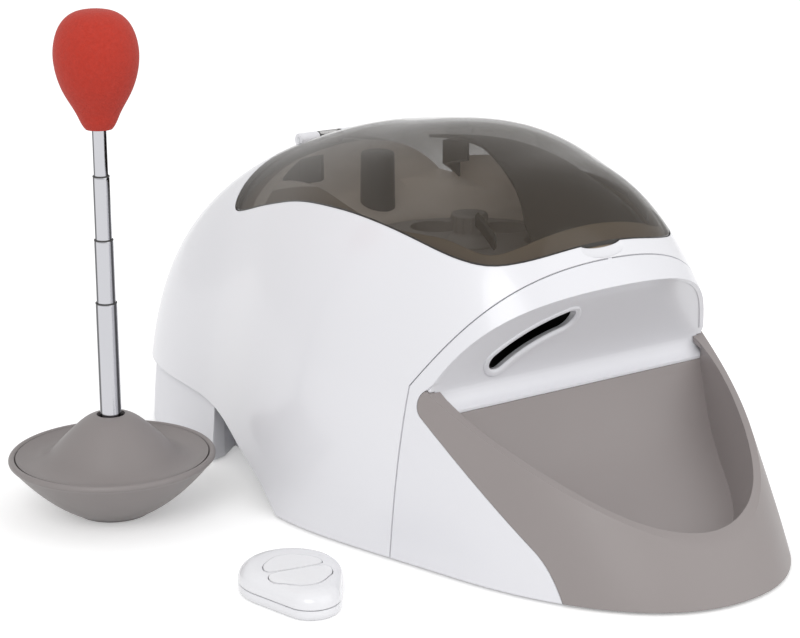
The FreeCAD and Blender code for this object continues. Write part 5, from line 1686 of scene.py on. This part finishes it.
@dataclass
class Tray:
    """The grey tray at the front, with the chute behind its outlet."""

    workshop: Workshop
    notch_low: Spot = (-78.7, -83.4, 72.4)
    notch_high: Spot = (78.7, -60.0, 95.0)
    sharp: float = 24.0

    def build(self) -> None:
        """Builds the tray, open right back to the panel's foot, and colours the chute near black: painted
        shade inside the outlet.
        """
        whole = polished_copy("treat_tray", "tray_whole", self.sharp)
        notch = block("tray_notch", self.notch_low, self.notch_high)
        made = smoothed(worked("treat_tray_moulded", whole, (Operation.CUT, notch)), self.sharp)
        forget(whole, notch)
        self.workshop.deliver(made, "dispenser", "tray_satin", "tray_taupe", "treat_tray")
        self.workshop.polish("treat_chute", "dispenser", "chute_painted_shade", "inner_white")


@dataclass
class Controls:
    """The control panel at the back: its plate, window, buttons and switch."""

    workshop: Workshop

    def build(self) -> None:
        """Builds the panel's pieces."""
        shop = self.workshop
        shop.polish("control_panel", "dispenser", "control_grey", "control_grey")
        shop.polish("control_window", "dispenser", "window_black", "window_dark")
        shop.polish("power_switch", "switch", "window_black", "control_grey")
        for hand in ("left", "right"):
            shop.polish(f"control_button_{hand}", f"{hand}_button", "button_grey", "button_grey")


@dataclass
class BatteryDoor:
    """The hatch under the base, with finger ridges."""

    workshop: Workshop
    ridges: int = 7
    ridge_pitch: float = 3.2
    ridge_half: Pair = (13.0, 0.8)
    ridge_round: float = 0.7
    ridge_shares: tuple[Pair, ...] = ((0.1, 1.0), (-0.3, 1.0), (-0.5, 0.92))
    start: Spot = (0.0, 112.0, 1.95)

    def build(self) -> None:
        """Builds the door and its ridges."""
        shop = self.workshop
        shop.polish("battery_door", "door", "base_white", "shell_white")
        long, wide = self.ridge_half
        outline = eased([(-long, -wide), (long, -wide), (long, wide), (-long, wide)], self.ridge_round, 3)
        ridge = lofted("door_ridge", [[(x * share, y * share, z) for x, y in outline]
                                      for z, share in self.ridge_shares])
        shop.deliver(in_row("door_ridges", ridge, shop.finishes.by_name["base_white"], self.ridges,
                            (0.0, self.ridge_pitch, 0.0), self.start), "door", "", "shell_white")


@dataclass
class Works:
    """What is inside the housing and the remote: gears, motor, boards and cells."""

    workshop: Workshop

    def build(self) -> None:
        """Dresses the pieces inside, which keep their own meshes."""
        for finish, nodes in {
            "gear_nylon": ["drive_gear", "motor_pinion"],
            "steel_brushed": ["drive_shaft", "gear_motor", "remote_cell"],
            "basin_cream": ["motor_bracket", "battery_bay"],
            "cell_wrap": [f"battery_cell_{number}" for number in range(1, 5)],
            "contact_brass": ["contact_left", "contact_right"],
            "board_green": ["main_board", "control_board", "remote_board"],
            "speaker_black": ["speaker"],
            "iron_cast": ["dish_weight"],
        }.items():
            for node in nodes:
                self.workshop.keep(node, finish)


# ---------------------------------------------------------------- wand


@dataclass
class Wand:
    """The target wand: a weighted dish, a telescoping tube and a foam tip."""

    workshop: Workshop
    centre: Vector = field(default_factory=lambda: Vector((*WAND_PLACE, 0.0)))
    rim: float = 50.5
    foot: float = 19.0
    rim_height: float = 30.0
    dome_height: float = 50.4
    radii: tuple[float, ...] = (5.2, 4.625, 4.05, 3.475)
    wall: float = 0.5
    bottoms: tuple[float, ...] = (6.4, 86.8, 118.0, 149.0)
    tops: tuple[float, ...] = (106.8, 138.0, 169.0, 208.0)
    bodies: tuple[str, ...] = ("wand", "tube_2", "tube_3", "tube_4")
    tip_low: float = 191.6
    tip_high: float = 248.0
    tip_radius: float = 20.1
    tip_shape: tuple[Pair, ...] = ((0.315, 0.0), (0.36, 0.02), (0.50, 0.12), (0.78, 0.3), (0.95, 0.47),
                                   (1.0, 0.62), (0.94, 0.77), (0.78, 0.89), (0.5, 0.97), (0.22, 0.995))
    tip_bore: float = 16.5
    tip_fit: float = 0.05
    tip_sides: int = 96
    tip_sharp: float = 50.0
    slide: float = 0.08
    rolled: tuple[Pair, ...] = ((0.0, 1.6), (0.05, 0.6), (0.16, 0.15), (0.3, 0.0))
    dish_sides: int = 128
    tube_sides: int = 64
    sharp: float = 40.0
    ring_sharp: float = 30.0

    def build(self) -> None:
        """Builds the wand's pieces from the dish up."""
        shop = self.workshop
        shop.deliver(self.dish(), "wand", "dish_satin", "tray_taupe", "wand_dish")
        shop.deliver(self.cover(), "wand", "dish_satin", "tray_taupe", "dish_cover")
        shop.polish("wand_socket", "wand", "rib_dark", "rib_smoke")
        for number, body in enumerate(self.bodies):
            node = f"wand_tube_{number + 1}"
            shop.deliver(self.tube(number), body, "tube_chrome", "tube_chrome", node)
            if number < len(self.bodies) - 1:
                shop.deliver(self.joint_ring(number), body, "seam_dark", "rib_smoke")
        tip = shop.deliver(self.tip(), "tube_4", "foam_red", "foam_red", "foam_tip")

    def dish(self) -> bpy.types.Object:
        """Turns the dish, its underside slightly full and its lip rolled."""
        rim, height = self.rim, self.rim_height
        neck = (rim - 0.9, height - 2.6)
        under = smooth([(self.foot - 0.2, 1.0), (29.5, 7.6), (40.5, 17.2), neck], CURVE_STEPS)
        lip = smooth([neck, (rim, height - 0.4), (rim - 1.2, height + 0.56), (rim - 2.4, height + 0.2),
                      (rim - 2.9, height - 0.8)], 5)
        inner = [(40.0, 20.6), (28.5, 10.8), (self.foot, 4.2), (self.foot - 1.0, 2.4), (0.0, 2.4)]
        profile = [(0.0, 0.0), (self.foot - 1.8, 0.0), (self.foot - 0.8, 0.3), *under, *lip[1:], *inner]
        return smoothed(lathe("wand_dish_turned", profile, self.centre, self.dish_sides), self.sharp)

    def cover(self) -> bpy.types.Object:
        """Turns the cover: a shallow valley inside the rim, then a dome up to the tube."""
        top = smooth([(47.2, 30.0), (43.4, 27.9), (38.5, 27.0), (33.5, 28.8), (29.0, 32.8), (24.0, 38.0),
                      (18.5, 43.4), (12.5, 48.3), (6.9, self.dome_height)], CURVE_STEPS)
        under = smooth([(6.9, self.dome_height - 2.0), (17.5, 41.6), (23.0, 36.0), (28.0, 30.8), (33.0, 26.8),
                        (38.5, 25.0), (47.2, 29.3)], 6)
        return smoothed(lathe("dish_cover_turned", [*top, *under], self.centre, self.dish_sides), self.sharp)

    def tube(self, number: int) -> bpy.types.Object:
        """Turns one tube, its top edge rolled in.

        Args:
            number: The tube's number, from 0 for the widest.

        Returns:
            The tube.
        """
        outer, low, high = self.radii[number], self.bottoms[number], self.tops[number]
        inner = outer - self.wall
        edge = [(outer - inwards, high - below) for inwards, below in self.rolled]
        profile = [(inner, low), (outer, low), *edge, (inner, high)]
        name = f"wand_tube_{number + 1}_turned"
        return smoothed(lathe(name, profile, self.centre, self.tube_sides), self.sharp)

    def joint_ring(self, number: int) -> bpy.types.Object:
        """Turns the dark ring where the next tube slides out.

        Args:
            number: The number of the tube that carries the ring.

        Returns:
            The ring.
        """
        outer, high = self.radii[number], self.tops[number]
        inner = self.radii[number + 1] + self.slide
        profile = [(inner, high - 0.3), (outer + 0.04, high - 0.3), (outer + 0.04, high + 0.1),
                   (outer - 0.1, high + 0.3), (inner, high + 0.35)]
        name = f"wand_joint_{number + 1}"
        return smoothed(lathe(name, profile, self.centre, self.tube_sides), self.ring_sharp)

    def tip(self) -> bpy.types.Object:
        """Turns the foam tip, an egg with its round end up."""
        height = self.tip_high - self.tip_low
        right = [(self.tip_radius * share, self.tip_low + height * rise) for share, rise in self.tip_shape]
        whole = [*right, (0.0, self.tip_high), *[(-r, z) for r, z in reversed(right[-3:])]]
        curve = [spot for spot in smooth(whole, CURVE_STEPS) if spot[0] > 0.01]
        bore, top = self.radii[-1] + self.tip_fit, self.tip_low + self.tip_bore
        profile = [(bore, self.tip_low), *curve, (0.0, self.tip_high), (0.0, top), (bore, top)]
        return smoothed(lathe("foam_tip_turned", profile, self.centre, self.tip_sides), self.tip_sharp)


@dataclass
class Remote:
    """The hand remote: an egg-shaped case in two shells, with a half-round and a pick-shaped button."""

    workshop: Workshop
    place: Pair = (-156.4, -75.6)
    turn: float = 79.0
    half_length: float = 31.0
    wide: float = 23.5
    narrow: float = 13.0
    seam: float = 4.8
    wall: float = 1.8
    board_low: float = 5.1
    button_low: float = 7.9
    button_high: float = 20.0
    button_gap: float = 0.4
    proud: float = 0.25
    low_rings: tuple[Pair, ...] = ((2.2, 0.0), (0.9, 0.35), (0.25, 1.2), (0.0, 2.4), (0.0, 4.4), (0.25, 4.8))
    top_rings: tuple[Pair, ...] = ((0.25, 5.2), (0.0, 5.5), (0.05, 7.0), (0.5, 8.6), (1.5, 10.1), (3.0, 11.3),
                                   (5.0, 12.1), (7.5, 12.5), (10.5, 12.6))
    far_half: tuple[Pair, ...] = ((0.7, 0.0), (0.8, 8.0), (2.0, 13.0), (6.0, 13.4), (12.0, 9.6), (15.6, 4.6),
                                  (16.6, 0.0))
    near_half: tuple[Pair, ...] = ((-0.7, 0.0), (-1.0, 9.0), (-3.0, 14.2), (-7.6, 14.2), (-13.6, 9.6),
                                   (-18.0, 4.6), (-19.2, 0.0))
    posts: tuple[Pair, ...] = ((25, 0), (-24, 0), (0, 16), (0, -16))
    post_half: float = 2.0
    post_sunk: float = 0.5
    board_gap: float = 0.4
    board_thick: float = 1.2
    sharp: float = 40.0

    def build(self) -> None:
        """Builds the remote's pieces."""
        shop = self.workshop
        solid = self.stacked("remote_solid", self.top_rings)
        holes = {"far": self.far_half, "near": self.near_half}
        tools = [self.stacked("top_hollow", ((self.wall, self.seam - 1), (self.wall, 8.0),
                                             (self.wall + 3.0, 10.2)))]
        tools += [self.button_prism(f"{end}_hole", half, self.button_gap) for end, half in holes.items()]
        top = worked("remote_top_moulded", solid, *[(Operation.CUT, tool) for tool in tools])
        shop.deliver(smoothed(top, self.sharp), "remote", "remote_gloss", "shell_white", "remote_top")
        for end, half in holes.items():
            plug = self.button_prism(f"{end}_prism", half, 0.0)
            button = worked(f"remote_button_{end}_moulded", solid, (Operation.KEEP, plug))
            for vertex in button.data.vertices:
                vertex.co.z += self.proud * MM
            shop.deliver(smoothed(button, self.sharp), f"{end}_button", "remote_button", "shell_white",
                         f"remote_button_{end}")
            forget(plug)
        forget(solid, *tools)
        shop.deliver(self.bottom(), "remote", "remote_gloss", "shell_white", "remote_bottom")
        shop.deliver(self.board(), "remote", "board_green", "board_green", "remote_board")

    def seat(self, along: float, aside: float, height: float) -> Vector:
        """Turns a place on the remote into a place on the floor."""
        angle = math.radians(self.turn)
        return Vector((self.place[0] + along * math.cos(angle) - aside * math.sin(angle),
                       self.place[1] + along * math.sin(angle) + aside * math.cos(angle), height))

    def ring(self, inset: float, height: float, steps: int = 40) -> list[Vector]:
        """Walks round the egg: a wide arc, a narrow arc and straight sides between them.

        Args:
            inset: How far in from the case's widest outline.
            height: The ring's height.
            steps: How many points there are on each arc.

        Returns:
            The ring's points.
        """
        far, near = self.half_length - self.wide, self.narrow - self.half_length
        lean = math.asin((self.wide - self.narrow) / (far - near))
        bend = math.pi / 2 + lean
        spots = []
        for centre, radius, start, end in ((far, self.wide - inset, -bend, bend),
                                           (near, self.narrow - inset, bend, math.tau - bend)):
            for angle in np.linspace(start, end, steps):
                spots.append(self.seat(centre + radius * math.cos(angle), radius * math.sin(angle), height))
        return spots

    def stacked(self, name: str, rings: Sequence[Pair]) -> bpy.types.Object:
        """Skins egg outlines, each given by its inset and its height."""
        return lofted(name, [self.ring(inset, height) for inset, height in rings])

    def button_prism(self, name: str, half: Sequence[Pair], grow: float) -> bpy.types.Object:
        """Draws a button's outline up through the case.

        Args:
            name: The object's name.
            half: The outline's upper half, from end to end.
            grow: How far the outline is grown all round.

        Returns:
            The block inside the outline.
        """
        loop = smooth([*half, *[(u, -v) for u, v in reversed(half[1:-1])]], CURVE_STEPS, closed=True)
        area = sum(a[0] * b[1] - b[0] * a[1] for a, b in zip(loop, [*loop[1:], loop[0]]))
        return prism(name, grown(loop, math.copysign(grow, area)), self.seat, self.button_low,
                     self.button_high)

    def bottom(self) -> bpy.types.Object:
        """Hollows the lower shell and stands the board's four posts in it."""
        case = self.stacked("bottom_case", self.low_rings)
        hollow = self.stacked("bottom_hollow", ((self.wall, self.wall), (self.wall, self.seam + 1)))
        half = self.post_half
        square = ((-half, -half), (half, -half), (half, half), (-half, half))
        posts = []
        for number, (u, v) in enumerate(self.posts):
            corners = [self.seat(u + a, v + b, 0.0) for a, b in square]
            posts.append(upright(f"post_{number}", [(spot.x, spot.y) for spot in corners],
                                 self.wall - self.post_sunk, self.board_low))
        made = worked("remote_bottom_moulded", case, (Operation.CUT, hollow),
                      *[(Operation.JOIN, post) for post in posts])
        forget(case, hollow, *posts)
        return smoothed(made, self.sharp)

    def board(self) -> bpy.types.Object:
        """Cuts the board to the case's plan."""
        inset, low = self.wall + self.board_gap, self.board_low
        return smoothed(self.stacked("remote_board_cut", ((inset, low), (inset, low + self.board_thick))))


# ---------------------------------------------------------------- studio


def towards(azimuth: float, elevation: float) -> Vector:
    """Gives the way from the set to a bearing in degrees, where azimuth 0 is straight in front."""
    turn, rise = math.radians(azimuth), math.radians(elevation)
    return Vector((math.sin(turn) * math.cos(rise), -math.cos(turn) * math.cos(rise), math.sin(rise)))


def hang(name: str, device: bpy.types.ID, place: Vector, back: Vector) -> bpy.types.Object:
    """Hangs a lamp or a camera in its place.

    Args:
        name: The object's name.
        device: The lamp or the camera.
        place: Its place in metres.
        back: The way it looks away from.

    Returns:
        The hung object.
    """
    made = bpy.data.objects.new(name, device)
    made.location = place
    made.rotation_euler = (-back).to_track_quat("-Z", "Y").to_euler()
    bpy.context.scene.collection.objects.link(made)
    return made


@dataclass
class Studio:
    """The floor, the lamps and the camera."""

    target: Spot = (-26.6, 27.8, 83.0)
    bearing: Pair = (-35.3, 15.8)
    distance: float = 1024.7
    lens: float = 90.0
    sensor: float = 36.0
    clip: Pair = (0.01, 100.0)
    floor_half: float = 15000.0
    paper: float = 0.86
    floor_glow: float = 0.3
    room_light: float = 0.78
    lamp_distance: float = 3.0

    # Each lamp's strength, its azimuth and elevation, and how wide it looks.
    key: tuple[float, Pair, float] = (0.8, (-46.0, 42.0), 30.0)
    fill: tuple[float, Pair, float] = (0.45, (30.0, 30.0), 60.0)

    def build(self) -> None:
        """Sets up the studio."""
        self.floor()
        self.world()
        self.sun("key_lamp", *self.key)
        self.sun("fill_lamp", *self.fill)
        self.camera()
        bpy.context.scene.view_settings.view_transform = "Standard"

    def floor(self) -> None:
        """Lays a pale floor that keeps the object's shadow and glows a little where it is seen."""
        half = self.floor_half
        made = from_faces("studio_floor", [(-half, -half, 0), (half, -half, 0), (half, half, 0),
                                           (-half, half, 0)], [(0, 1, 2, 3)])
        paper = bpy.data.materials.new("studio_paper")
        paper.use_nodes = True
        tree = paper.node_tree
        tree.nodes.clear()
        rays = add_node(tree, "ShaderNodeLightPath", {}).outputs
        seen = add_node(tree, "ShaderNodeMath", {0: rays["Is Camera Ray"], 1: rays["Is Glossy Ray"]},
                        operation="MAXIMUM")
        gain = add_node(tree, "ShaderNodeMath", {0: seen.outputs[0], 1: self.floor_glow},
                        operation="MULTIPLY")
        glow = add_node(tree, "ShaderNodeEmission", {"Strength": gain.outputs[0]})
        paint = add_node(tree, "ShaderNodeBsdfDiffuse", {"Color": (self.paper, self.paper, self.paper, 1.0)})
        both = add_node(tree, "ShaderNodeAddShader", {0: paint.outputs[0], 1: glow.outputs[0]})
        add_node(tree, "ShaderNodeOutputMaterial", {"Surface": both.outputs[0]})
        made.data.materials.append(paper)

    def world(self) -> None:
        """Lights the room evenly, and shows it white."""
        room = bpy.data.worlds.new("studio_room")
        room.use_nodes = True
        tree = room.node_tree
        rays = add_node(tree, "ShaderNodeLightPath", {}).outputs
        level = add_node(tree, "ShaderNodeMapRange", {"Value": rays["Is Camera Ray"],
                                                      "To Min": self.room_light, "To Max": 1.0})
        wire(tree, tree.nodes["Background"], {"Color": (1.0, 1.0, 1.0, 1.0),
                                              "Strength": level.outputs["Result"]})
        bpy.context.scene.world = room

    def sun(self, name: str, strength: float, bearing: Pair, spread: float) -> None:
        """Hangs a wide soft lamp.

        Args:
            name: The lamp's name.
            strength: Its strength.
            bearing: The azimuth and elevation it shines from, in degrees.
            spread: How wide it looks, in degrees.
        """
        lamp = bpy.data.lights.new(name, "SUN")
        lamp.energy = strength
        lamp.angle = math.radians(spread)
        back = towards(*bearing)
        hang(name, lamp, back * self.lamp_distance, back)

    def camera(self) -> None:
        """Sets the camera on its line to the target."""
        camera = bpy.data.cameras.new("studio_camera")
        camera.lens = self.lens
        camera.sensor_width = self.sensor
        camera.sensor_fit = "HORIZONTAL"
        camera.clip_start, camera.clip_end = self.clip
        back = towards(*self.bearing)
        place = (Vector(self.target) + back * self.distance) * MM
        bpy.context.scene.camera = hang("studio_camera", camera, place, back)


def main() -> None:
    """Builds the set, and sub-assembly by sub-assembly."""
    logging.basicConfig(level=logging.INFO, format="%(message)s")
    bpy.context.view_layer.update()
    workshop = Workshop(Finishes())
    for part in (Housing, Lid, Hopper, Tray, Controls, BatteryDoor, Works, Wand, Remote):
        part(workshop).build()
        LOG.info("%s is built", part.__name__)
    Studio().build()


if __name__ == "__main__":
    main()
